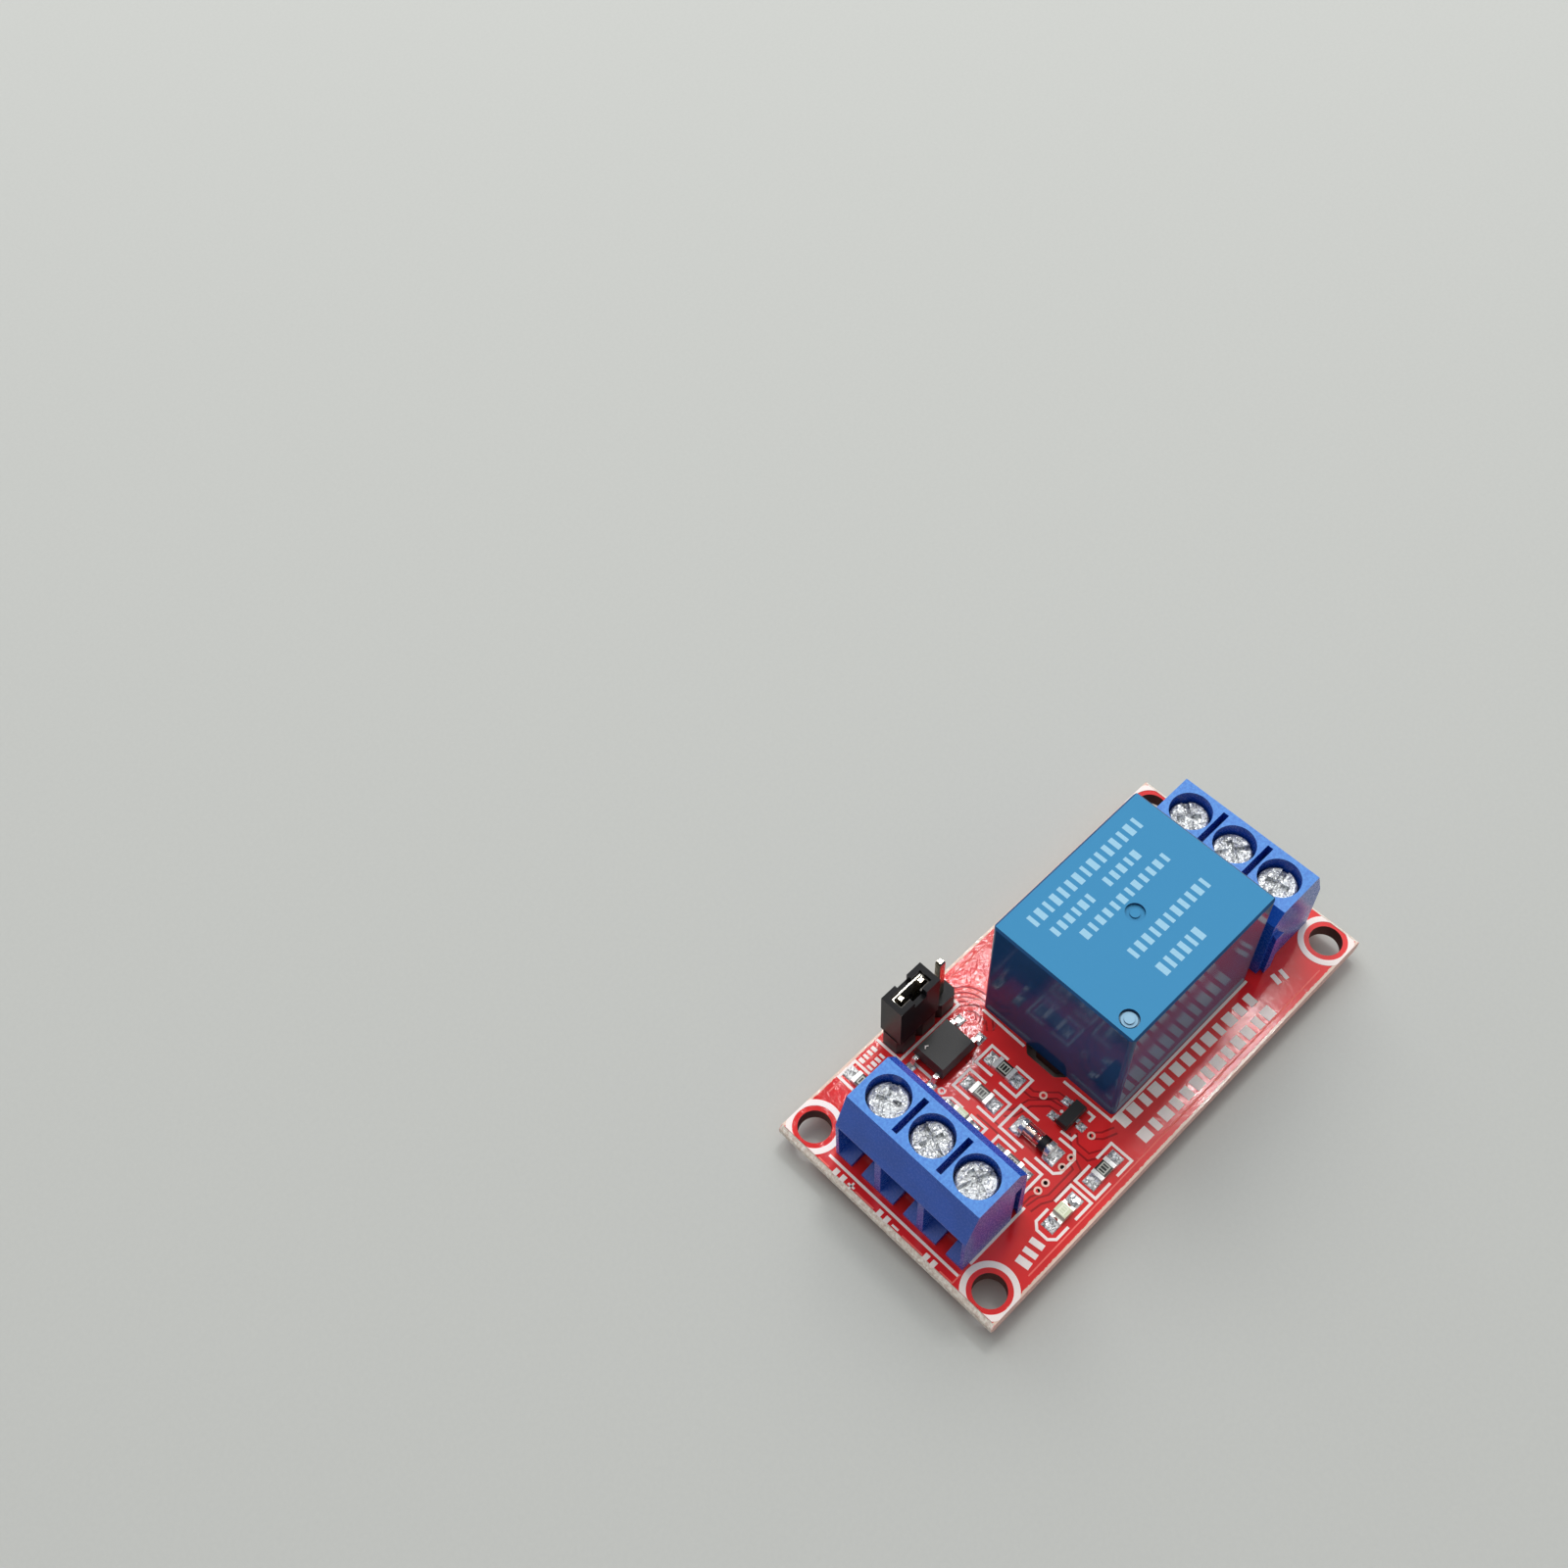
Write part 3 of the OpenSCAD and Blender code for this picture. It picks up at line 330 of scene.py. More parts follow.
def chip_finish(name, node, body_colour, mark_colour, end_colour, end_length, mark_span):
    """Small chip: tinned ends, a body between them, and a pale outlined mark on its top. The span
    is half the mark's length and half its width."""
    low, high = node_box(node)
    middle = (low + high) / 2
    long_axis = int(high[1] - low[1] > high[0] - low[0])
    f = Finish(name)
    parts = f.split(f.place())
    along = abs(parts[long_axis] - float(middle[long_axis]))
    across = abs(parts[1 - long_axis] - float(middle[1 - long_axis]))
    inner = float(high[long_axis] - low[long_axis]) / 2 - end_length
    tin = along.smooth(inner - 0.02, inner + 0.02)
    grain = f.noise(6.0, 3)
    up = f.up_face(0.8, 0.95)
    long, wide = mark_span
    line, soft = 0.12, 0.04

    def within(distance, reach):
        """1 where the distance is under this reach and 0 past it, with a soft edge."""
        return 1 - distance.smooth(reach - soft, reach + soft)

    inside = within(along, long) * within(across, wide)
    hollow = within(along, long - line) * within(across, wide - line)
    stroke = 1 - abs(along - long * 0.33).smooth(0.03, 0.07)
    mark = (inside * (1 - hollow) + stroke * hollow * 0.8) * up
    top = f.mix(up, tone(205, 200, 185), body_colour)
    inked = f.mix(mark * 0.85, top, mark_colour)
    return f.surface(
        base_color=f.mix(tin, inked, end_colour),
        metallic=tin * 0.55,
        roughness=grain * 0.12 + tin * 0.04 + 0.19,
        normal=f.bump(grain, 0.02, 0.5),
    )


def winding_finish():
    """Enamelled copper wire, wound in level turns, painted bright on each turn's crown and dark
    between turns as painted light and shade.
    """
    f = Finish("enamelled_winding")
    z = f.split(f.place())[2]
    turns = abs((z * 9.0).math("FRACT") - 0.5) * 2
    # Painted light and shade: bright on each turn's crown and dark in the grooves between turns.
    wire = f.mix(turns, tone(120, 56, 24), tone(206, 112, 56))
    relief = f.bump(turns, 0.05, 1.0)
    return f.surface(base_color=wire, metallic=0.85, roughness=0.28, normal=relief)


def jumper_contact_finish():
    """Plated spring: a painted highlight makes its half toward +y bright, and painted shade makes
    the other half dark.
    """
    f = Finish("jumper_spring_plate")
    low, high = node_box("jumper_contact")
    y = f.split(f.place())[1] - float(low[1] + high[1]) / 2
    cloud = f.noise(2.0, 3)
    # Painted highlight on the half toward +y, and painted shade on the rest.
    bright = y.smooth(0.1, 0.35)
    return f.surface(
        base_color=f.mix(bright, tone(58, 54, 48), tone(255, 250, 236)),
        metallic=bright * 0.5 + 0.4,
        roughness=cloud * 0.2 + 0.2,
        normal=f.bump(cloud, 0.02, 0.6),
    )


def glass_finish():
    """Clear glass with faint warm streaks."""
    f = Finish("diode_glass")
    tint = f.mix(f.noise(1.5, 2), tone(250, 226, 214), tone(255, 246, 240))
    return f.surface(base_color=tint, roughness=0.02, ior=1.5, transmission_weight=1.0)


def wear(material, *names):
    """Gives the solids with these names one finish."""
    for name in names:
        slots = NODES[name].data.materials
        if not slots:
            slots.append(material)
        for index in range(len(slots)):
            slots[index] = material


# ---- shapes ----


def joined(parts):
    """One list of points and one of faces from several (points, faces) pairs."""
    points, faces, start = [], [], 0
    for these, sides in parts:
        points.append(these)
        faces += [[int(i) + start for i in side] for side in sides]
        start += len(these)
    return np.vstack(points), faces


def add_piece(name, parts, material, body=BOARD, smooth=False):
    """Puts closed shapes, given in millimetres, into one mesh that rides on a body."""
    points, faces = joined(parts)
    mesh = bpy.data.meshes.new(name)
    mesh.from_pydata((points * MM).tolist(), [], faces)
    mesh.materials.append(material)
    if smooth:
        mesh.polygons.foreach_set("use_smooth", np.ones(len(mesh.polygons), bool))
    mesh.update()
    piece = bpy.data.objects.new(name, mesh)
    bpy.context.scene.collection.objects.link(piece)
    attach(piece, body)
    return piece


def at_height(outline, z):
    """Points of a plane, lifted to a height."""
    return np.column_stack([outline, np.full(len(outline), z)])


def turned(points, degrees):
    """Points of a plane turned about its origin."""
    angle = math.radians(degrees)
    spin = np.array([[math.cos(angle), math.sin(angle)], [-math.sin(angle), math.cos(angle)]])
    return np.asarray(points) @ spin


def circle(radius, first=0.0, last=360.0, segments=64, closed=True):
    """Points of an arc from first to last, in degrees. A closed one leaves its last point out."""
    turn = np.radians(np.linspace(first, last, segments, endpoint=not closed))
    return np.stack([np.cos(turn), np.sin(turn)], 1) * radius


# Pairs of rows, to close a bar whose rows are low left, low right, top left and top right.
AROUND = ((2, 3), (1, 0), (0, 2), (3, 1))


def quads_between(count, pairs, closed=True):
    """Quads between rows of count points. Each pair gives the numbers of two rows, and closed
    rows go back to their first point."""
    here = np.arange(count if closed else count - 1)
    there = (here + 1) % count
    quads = [
        np.stack([a * count + here, b * count + here, b * count + there, a * count + there], 1)
        for a, b in pairs
    ]
    return np.vstack(quads).tolist()


def strip(path, width, z, height):
    """A flat bar along a path: each corner is mitred, so that its two edge points stand at half
    the width from the path along the corner's bisector, over the cosine of half its turn."""
    path = np.asarray(path, float)
    step = np.diff(path, axis=0)
    step = step / np.linalg.norm(step, axis=1)[:, None]
    side = np.stack([-step[:, 1], step[:, 0]], 1)
    before, after = np.vstack([side[:1], side]), np.vstack([side, side[-1:]])
    mitre = (before + after) / (1 + (before * after).sum(1))[:, None]
    left, right = path + mitre * width / 2, path - mitre * width / 2
    rows = [at_height(edge, level) for level in (z, z + height) for edge in (left, right)]
    count = len(path)
    low_left, low_right, top_left, top_right = (row * count for row in range(4))
    start = [low_left, low_right, top_right, top_left]
    stop = [row + count - 1 for row in (low_right, low_left, top_left, top_right)]
    return np.vstack(rows), quads_between(count, AROUND, closed=False) + [start, stop]


def ring(centre, inner, outer, z, height, limit=None, segments=64):
    """A flat washer: two circles at each of two levels, cut straight where they pass the limit."""
    rows = [circle(radius, segments=segments) + centre for radius in (inner, outer)]
    if limit is not None:
        rows = [np.clip(row, -limit, limit) for row in rows]
    points = np.vstack([at_height(row, level) for level in (z, z + height) for row in rows])
    return points, quads_between(segments, AROUND)


def bar(centre, size, z, height, turn=0.0):
    """A rectangular plate on a centre, turned by an angle in degrees."""
    corners = np.array([[-1, -1], [1, -1], [1, 1], [-1, 1]]) * np.asarray(size) / 2
    outline = turned(corners, turn) + centre
    points = np.vstack([at_height(outline, level) for level in (z, z + height)])
    return points, quads_between(4, [(1, 0)]) + [[4, 5, 6, 7], [3, 2, 1, 0]]


def bar_row(start, stop, pitch, size, seed, z, height):
    """A row of plain upright bars along a line. Their widths follow the sine of the bar's number,
    from 0.6 to 1 times the width given."""
    start, stop = np.asarray(start, float), np.asarray(stop, float)
    way = stop - start
    turn = math.degrees(math.atan2(way[1], way[0]))
    number = np.arange(max(1, round(np.linalg.norm(way) / pitch)))
    places = start + way * ((number + 0.5) / len(number))[:, None]
    widths = size[0] * (0.8 + 0.2 * np.sin(2.6 * number + seed))
    return [bar(at, (wide, size[1]), z, height, turn) for at, wide in zip(places, widths)]


def glass_band(node, start, stop, lift=0.025, segments=32):
    """A thin painted tube round a glass cylinder that lies along y, from start to stop past the
    cylinder's lower end."""
    low, high = node_box(node)
    x, z = (low[0] + high[0]) / 2, (low[2] + high[2]) / 2
    radius = (high[2] - low[2]) / 2
    rows = []
    for at, r in ((start, radius), (start, radius + lift), (stop, radius + lift), (stop, radius)):
        round_glass = circle(r, segments=segments)
        along = np.full(segments, low[1] + at)
        rows.append(np.column_stack([x + round_glass[:, 0], along, z + round_glass[:, 1]]))
    return np.vstack(rows), quads_between(segments, ((1, 0), (2, 1), (3, 2), (0, 3)))


def solder_mound(centre, size, rise, turn, seed):
    """Solder on a pad of this length and width: thickness falls from rise at the chip to a low
    crown, as a decaying exponential along the pad, times one minus the eighth power across it,
    plus small waves, and rounds off past the toe. The turn, in degrees, is the way that the pad
    runs from the chip."""
    length, width = size
    along, across = 20, 14
    film, crown, waviness, sunk = 0.012, 0.09, 0.018, 0.01
    toe = 0.82
    u, v = np.meshgrid(np.linspace(0, 1, along), np.linspace(-1, 1, across), indexing="ij")
    rim = (1 - np.abs(v) ** 8) * (1 - np.clip((u - toe) / (1 - toe), 0, 1) ** 3)
    wave = waviness * np.sin(9 * u + seed) * np.cos(5 * v + 1.7 * seed)
    height = film + (crown + rise * np.exp(-5.0 * u) + wave) * rim
    flat = np.stack([u.ravel() * length, v.ravel() * width / 2], 1)
    flat = turned(flat, turn) + centre
    top = np.column_stack([flat, TOP + height.ravel()])
    index = np.arange(along * across).reshape(along, across)
    corners = [index[:-1, :-1], index[1:, :-1], index[1:, 1:], index[:-1, 1:]]
    cells = np.stack(corners, -1).reshape(-1, 4)
    below = along * across
    border = [index[:-1, 0], index[-1, :-1], index[:0:-1, -1], index[0, :0:-1]]
    border = np.concatenate(border)
    following = np.roll(border, -1)
    walls = np.stack([border + below, following + below, following, border], 1)
    faces = np.vstack([cells, walls, cells[:, ::-1] + below]).tolist()
    return np.vstack([top, at_height(flat, TOP - sunk)]), faces


# ---- settings ----


class BoardSettings(bpy.types.PropertyGroup):
    """The board's colours, and how thick what lies on it is"""

    lacquer: bpy.props.FloatVectorProperty(
        name="Lacquer", description="Colour of the solder mask", subtype="COLOR", size=3,
        default=tone(238, 44, 45), min=0, max=1,
    )
    ink: bpy.props.FloatVectorProperty(
        name="Ink", description="Colour of the printed lines", subtype="COLOR", size=3,
        default=tone(255, 242, 236), min=0, max=1,
    )
    ink_thickness: bpy.props.FloatProperty(
        name="Ink thickness", description="How far the print stands on the lacquer", subtype="DISTANCE",
        unit="LENGTH", default=0.034 * MM, min=0.005 * MM, max=0.1 * MM, precision=6,
    )
    line_width: bpy.props.FloatProperty(
        name="Line width", description="Width of the printed outlines", subtype="DISTANCE",
        unit="LENGTH", default=0.26 * MM, min=0.1 * MM, max=0.5 * MM, precision=6,
    )
    copper_relief: bpy.props.FloatProperty(
        name="Track relief", description="How far the tracks lift the lacquer", subtype="DISTANCE",
        unit="LENGTH", default=0.035 * MM, min=0.01 * MM, max=0.1 * MM, precision=6,
    )


class BlockSettings(bpy.types.PropertyGroup):
    """The terminal blocks' colours"""

    plastic: bpy.props.FloatVectorProperty(
        name="Housing", description="Colour of the terminal blocks", subtype="COLOR", size=3,
        default=tone(30, 88, 196), min=0, max=1,
    )
    # Painted light: the upper faces are paler than the walls, and scuffs vary how pale.
    top: bpy.props.FloatVectorProperty(
        name="Upper faces", description="Colour where the blocks' upper faces are scuffed pale",
        subtype="COLOR", size=3, default=tone(82, 150, 226), min=0, max=1,
    )
    screw_metal: bpy.props.FloatVectorProperty(
        name="Screws", description="Colour of the screws' plating", subtype="COLOR", size=3,
        default=(0.95, 0.98, 0.98), min=0, max=1,
    )


class RelaySettings(bpy.types.PropertyGroup):
    """The relay's colours"""

    # Painted light: a paler copy of the cover's blue for the top.
    lit_top_colour: bpy.props.FloatVectorProperty(
        name="Top", description="Colour of the cover's matt top", subtype="COLOR", size=3,
        default=tone(60, 139, 186), min=0, max=1,
    )
    # Painted shade: a darker copy of the cover's blue for the sides.
    shaded_side_colour: bpy.props.FloatVectorProperty(
        name="Sides", description="Colour of the cover's glossy sides", subtype="COLOR", size=3,
        default=tone(42, 84, 130), min=0, max=1,
    )
    print_colour: bpy.props.FloatVectorProperty(
        name="Print", description="Colour of the bars on the top", subtype="COLOR", size=3,
        default=tone(150, 200, 226), min=0, max=1,
    )


class StageSettings(bpy.types.PropertyGroup):
    """The floor and the camera"""

    floor_colour: bpy.props.FloatVectorProperty(
        name="Floor", description="Colour of the floor", subtype="COLOR", size=3,
        default=tone(198, 200, 196), min=0, max=1,
    )
    lens: bpy.props.FloatProperty(
        name="Lens", description="Focal length on a 36 mm sensor, in millimetres",
        default=42.57, min=20, max=120,
    )

# ---- board ----

# Printed lines on the board's top.
OUTLINES = [
    [(-4.3, 7.5), (-4.4, 2.4)],
    [(-4.5, -2.4), (-4.4, -7.85), (14.8, -7.8)],
    [(-24.2, 7.65), (-24.2, -7.7)],
    [(-22.7, -7.7), (-15.75, -7.7)],
    [(-12.6, 8.4), (-12.6, 5.7)],
    [(-13.3, 12.4), (-13.3, 9.45), (-5.5, 9.45), (-5.5, 12.4)],
    [(-11.75, -4.0), (-11.75, -1.2), (-8.9, -1.2), (-8.9, -3.3)],
    [(-8.85, -5.64), (-8.8, -7.36), (-9.4, -7.87), (-11.2, -7.84), (-11.7, -7.4), (-11.7, -5.3)],
    [(-5.2, -5.8), (-5.2, -6.5), (-5.85, -6.5)],
    [(-8.25, -5.3), (-8.2, -6.5), (-7.6, -6.5)],
]
# Printed boxes round chips: lower and upper corner, the chip's axis, and which end has its
# corners cut off, if one has.
CHIP_OUTLINES = [
    ((-8.6, -0.35), (-6.4, 4.5), 1, 0),
    ((-11.7, -0.45), (-9.5, 4.4), 1, 0),
    ((-10.85, -11.5), (-6.0, -9.2), 0, 0),
    ((-14.7, -6.75), (-12.45, -1.7), 1, 0),
    ((-14.9, -0.5), (-12.7, 4.2), 1, 1),
    ((-16.5, -11.5), (-11.4, -9.2), 0, -1),
    ((-18.35, 7.8), (-16.2, 12.3), 1, 0),
]
# Chips whose two ends are soldered to pads.
CHIPS = [f"resistor_{number}" for number in range(1, 6)] + ["power_lamp", "signal_lamp"]
# Rows of bars where the board carries text: start, end, pitch, size of a bar, and seed.
TEXT_ROWS = [
    ((-4.3, -8.55), (14.2, -9.25), 1.42, (1.15, 1.2), 0),
    ((-4.0, -10.75), (14.3, -11.2), 1.42, (1.15, 1.2), 2),
    ((16.4, -9.5), (18.2, -9.9), 0.8, (0.6, 1.1), 3),
    ((-16.0, 11.9), (-13.9, 11.9), 0.5, (0.4, 0.6), 1),
    ((-16.0, 10.9), (-13.9, 10.9), 0.5, (0.4, 0.6), 4),
    ((-19.9, -10.9), (-16.9, -10.5), 1.0, (0.75, 1.35), 1),
]
# Labels along the input block: where each is on the line x = LABEL_X, and its sign. Each has two
# bars and the sign beside them, all given from the label's place.
LABEL_X = -24.9
LABELS = [(5.2, "plus"), (-0.1, "minus"), (-5.6, "")]
LABEL_BARS_AT = (0.95, 0.1)
LABEL_BAR = (0.62, 0.5)
SIGN_AT = -0.9
SIGN_STROKE = (0.2, 0.75)
# Round printed marks: centre, inner and outer radius, segments. A dot's inner radius is tiny.
ROUND_MARKS = [((-6.8, -4.15), 0.001, 0.16, 16), ((-12.85, 4.75), 0.2, 0.36, 20)]
# The ring round each hole: inner and outer radius, and the hole's distance from both edges.
RING_RADII = (2.03, 2.6)
HOLE_INSET = 2.25
# How near the ring may come to the board's end and to its long side.
RING_MARGIN = (0.42, 0.02)
# The tick at the optocoupler's first pin: its inset from the body's corner, path, width, height.
TICK_INSET = (0.75, -0.95)
TICK_PATH = [(0.32, 0.1), (0.1, 0.26), (-0.12, 0.1)]
TICK_SECTION = (0.11, 0.02)
VIAS = [(-6.8, -2), (-6.7, -7.5), (-9.5, -7.6), (-10.7, -7.6), (-12.8, -7.5), (-13.8, -7.5)]
# A via's rim: inner and outer radius, and how far it stands above the tracks.
VIA_RADII = (0.2, 0.38)
RIM_LIFT = 0.02
# Copper tracks under the lacquer.
TRACKS = [
    [(-7.4, -0.3), (-7.4, -1.2), (-6.8, -2.0)],
    [(-6.8, -2.0), (-5.9, -2.9), (-5.8, -3.9)],
    [(-10.5, -0.6), (-9.9, -1.2), (-8.2, -1.6), (-6.9, -2.9), (-6.7, -4.0)],
    [(-7.6, -6.2), (-8.4, -7.0), (-8.4, -8.6), (-7.0, -9.4)],
    [(-6.7, -7.5), (-6.0, -8.2), (-4.8, -8.7)],
    [(-9.5, -7.6), (-10.0, -8.7), (-13.5, -8.7), (-14.4, -8.2), (-15.6, -8.0)],
    [(-13.8, -7.5), (-14.6, -7.1), (-16.0, -7.1)],
    [(-12.0, 1.0), (-12.0, -1.2), (-12.2, -3.0)],
    [(-5.2, 8.6), (-4.7, 8.0), (-4.7, 6.4), (-5.4, 5.6)],
    [(-4.6, 9.0), (-4.0, 8.3), (-4.0, 7.9)],
    [(-8.9, 5.2), (-8.9, 4.9), (-9.2, 4.7)],
]
# Copper arcs that spread round the optocoupler's lead next to the header.
ARC_CENTRE = (-5.9, 8.3)
ARC_RADII = (1.0, 1.45, 1.9, 2.35, 2.9)
ARC_ENDS = (-75, 80)
# How deep relief and print start below the lacquer's face, so that no gap shows under them.
RELIEF_SUNK = 0.01
INK_SUNK = 0.005


def chip_outline(low, high, along, cut_end):
    """A box round a chip with a gap in the middle of both long sides: two facing brackets.
    The bracket at cut_end has its corners cut off."""
    half_gap, cut = 0.45, 0.55
    side, other = low[1 - along], high[1 - along]
    paths = []
    for end, far in ((-1, low[along]), (1, high[along])):
        near = far - end * cut
        stop = (low[along] + high[along]) / 2 + end * half_gap
        path = [(stop, side), (far, side), (far, other), (stop, other)]
        if end == cut_end:
            path[1:3] = [(near, side), (far, side + cut), (far, other - cut), (near, other)]
        paths.append([(v, u) if along else (u, v) for u, v in path])
    return paths


def pour_edges():
    """The edge of the copper pour, a thin line that runs round the board inside its border and
    stops at the labels of the input block and at the rings of the four holes."""
    x, y = (BOARD_HIGH[:2] - BOARD_LOW[:2]) / 2 - (0.5, 0.8)
    between_labels = [(8.2, 6.9), (3.7, 1.5), (-1.9, -4.3), (-6.3, -7.75)]
    foot = between_labels[-1][1]
    past_input_rings, before_output_rings, beside_rings = 5, 4.6, 7.6
    paths = [[(-x, high), (-x, low)] for high, low in between_labels]
    paths.append([(-x, foot), (-x + 1.05, foot)])
    for side in (-y, y):
        paths.append([(-x + past_input_rings, side), (x - before_output_rings, side)])
    return paths + [[(x, -beside_rings), (x, beside_rings)]]


class FinishBoard(bpy.types.Operator):
    """Gives the board its lacquer and lays the tracks' relief and the vias' rims on it"""

    bl_idname = "relay_board.finish_board"
    bl_label = "Board"

    def execute(self, context):
        settings = context.scene.board_settings
        lacquer = board_finish("board_lacquer_and_laminate", settings)
        wear(lacquer, "pcb")
        grey = (0.82, 0.83, 0.85)
        below = metal_finish("solder_below", grey, rough=(0.1, 0.35), lump=1.6, depth=0.08)
        wear(below, "solder_joints")
        gaps = board_finish("board_lacquer_over_gaps", settings, shade=0.5)
        edge = print_finish("pour_edge", tone(246, 112, 102))
        shaded = print_finish("lacquer_in_shade", tone(176, 50, 54))
        arcs = [circle(r, *ARC_ENDS, segments=24, closed=False) + ARC_CENTRE for r in ARC_RADII]
        z, height = TOP - RELIEF_SUNK, settings.copper_relief / MM
        # Each piece's lines with their width, share of the relief, finish and slot. The darker
        # lacquer of board_gaps shows along both sides of each track.
        for name, paths, width, share, finish, slot in (
            ("board_tracks", TRACKS, 0.42, 1.0, lacquer, "solder_mask"),
            ("board_gaps", TRACKS, 0.78, 0.45, gaps, "solder_mask"),
            ("board_pour_edge", pour_edges(), 0.13, 0.8, edge, None),
            ("board_arcs", arcs, 0.15, 0.5, shaded, None),
        ):
            parts = [strip(path, width, z, share * height) for path in paths]
            add_piece(name, parts, finish)
        rims = [ring(at, *VIA_RADII, z, height + RIM_LIFT, segments=24) for at in VIAS]
        add_piece("via_rims", rims, print_finish("via_rim", tone(250, 206, 190)))
        return {"FINISHED"}


class PrintBoard(bpy.types.Operator):
    """Lays the printed outlines, rings and plain marks on the board"""

    bl_idname = "relay_board.print_board"
    bl_label = "Board print"

    def execute(self, context):
        settings = context.scene.board_settings
        z, height = TOP - INK_SUNK, settings.ink_thickness / MM + INK_SUNK
        ink = print_finish("board_ink", settings.ink)
        paths = OUTLINES + [path for box in CHIP_OUTLINES for path in chip_outline(*box)]
        width = settings.line_width / MM
        add_piece("printed_outlines", [strip(path, width, z, height) for path in paths], ink)
        half = (BOARD_HIGH[:2] - BOARD_LOW[:2]) / 2
        x, y = half - HOLE_INSET
        rings = [
            ring(at, *RING_RADII, z, height, half - RING_MARGIN)
            for at in ((-x, -y), (-x, y), (x, -y), (x, y))
        ]
        add_piece("printed_rings", rings, ink)
        add_piece("printed_marks", self.marks(z, height), ink)
        low, high = node_box("optocoupler_body")
        path = np.array([low[0], high[1]]) + TICK_INSET + TICK_PATH
        width, height = TICK_SECTION
        tick = strip(path, width, float(high[2]) - INK_SUNK, height)
        add_piece("optocoupler_mark", [tick], ink)
        return {"FINISHED"}

    def marks(self, z, height):
        """The rows of bars, the input block's labels and the round marks."""
        marks = [shape for row in TEXT_ROWS for shape in bar_row(*row, z, height)]
        for y, sign in LABELS:
            marks += [bar((LABEL_X, y + up), LABEL_BAR, z, height) for up in LABEL_BARS_AT]
            at = (LABEL_X, y + SIGN_AT)
            if sign:
                marks.append(bar(at, SIGN_STROKE, z, height))
            if sign == "plus":
                marks.append(bar(at, SIGN_STROKE[::-1], z, height))
        for at, inner, outer, segments in ROUND_MARKS:
            marks.append(ring(at, inner, outer, z, height, segments=segments))
        return marks


class SolderParts(bpy.types.Operator):
    """Adds the solder on the pads of the surface-mounted parts"""

    bl_idname = "relay_board.solder_parts"
    bl_label = "Solder"

    def execute(self, context):
        solder = metal_finish(
            "pad_solder", (0.95, 0.96, 0.96), rough=(0.06, 0.16), lump=1.3, depth=0.25,
            hollow_shade_share=0.95, crease_shade=0.85, frost=0.45,
        )
        add_piece("chip_solder", self.at_chips(), solder, smooth=True)
        add_piece("lead_solder", self.at_leads(), solder, smooth=True)
        return {"FINISHED"}

    def at_chips(self):
        """A mound at both ends of each chip. A lamp's is low, a resistor's climbs its end."""
        length, past_sides, overlap = 1.12, 0.1, 0.03
        lamp_rise, share_climbed = 0.25, 0.8
        mounds = []
        for number, name in enumerate(CHIPS):
            low, high = node_box(name)
            middle = (low + high) / 2
            along = int(high[1] - low[1] > high[0] - low[0])
            half = (high[along] - low[along]) / 2
            size = (length, high[1 - along] - low[1 - along] + past_sides)
            rise = lamp_rise if "lamp" in name else (high[2] - TOP) * share_climbed
            for end in (-1, 1):
                centre = middle[:2].copy()
                centre[along] += end * (half - overlap)
                turn = 90 * end if along else 90 - 90 * end
                mounds.append(solder_mound(centre, size, rise, turn, seed=number * 2.3 + end))
        return mounds

    def at_leads(self):
        """Mounds at the diode's two ends, the optocoupler's four leads and the transistor's three.
        Each starts this far under the tip."""
        under_tip, under_wide_tip = 0.45, 0.75
        low, high = node_box("diode_end_caps")
        x = (low[0] + high[0]) / 2
        mounds = [
            solder_mound((x, y - end * under_tip), (1.25, 1.9), 0.55, turn=90 * end, seed=4.0 + end)
            for end, y in ((1, high[1]), (-1, low[1]))
        ]
        low, high = node_box("optocoupler_leads")
        y, half_pitch = (low[1] + high[1]) / 2, 1.27
        for end, x in ((-1, low[0]), (1, high[0])):
            for side in (-1, 1):
                at = (x - end * under_wide_tip, y + side * half_pitch)
                turn, seed = 90 - 90 * end, 7.0 + end + side
                mounds.append(solder_mound(at, (1.15, 0.95), 0.14, turn, seed))
        low, high = node_box("transistor_leads")
        x, half_pitch = (low[0] + high[0]) / 2, 0.95
        for lead, y, end in ((-half_pitch, high[1], 1), (half_pitch, high[1], 1), (0.0, low[1], -1)):
            at = (x + lead, y - end * under_tip)
            mounds.append(solder_mound(at, (0.85, 0.8), 0.12, turn=90 * end, seed=11.0 + lead))
        return mounds


# ---- terminal blocks ----

POLES = (1, 2, 3)


class FinishBlocks(bpy.types.Operator):
    """Gives the terminal blocks, their screws, cages and wire guards their finishes"""

    bl_idname = "relay_board.finish_blocks"
    bl_label = "Terminal blocks"

    def execute(self, context):
        settings = context.scene.block_settings
        plastic = block_finish(settings)
        zinc = metal_finish(
            "screw_zinc", settings.screw_metal, rough=(0.08, 0.22), lump=1.5, depth=0.5,
            hollow_shade_share=0.9, crease_shade=0.75, frost=0.5,
        )
        tin = metal_finish("cage_tin", (0.74, 0.73, 0.7), rough=(0.25, 0.45), lump=1.2, depth=0.03)
        for block in ("input", "output"):
            wear(plastic, f"{block}_terminal_housing")
            wear(tin, f"{block}_terminal_cages")
            wear(zinc, *(f"{block}_screw_{pole}" for pole in POLES))
            wear(tin, *(f"{block}_wire_guard_{pole}" for pole in POLES))
        return {"FINISHED"}


# ---- relay ----

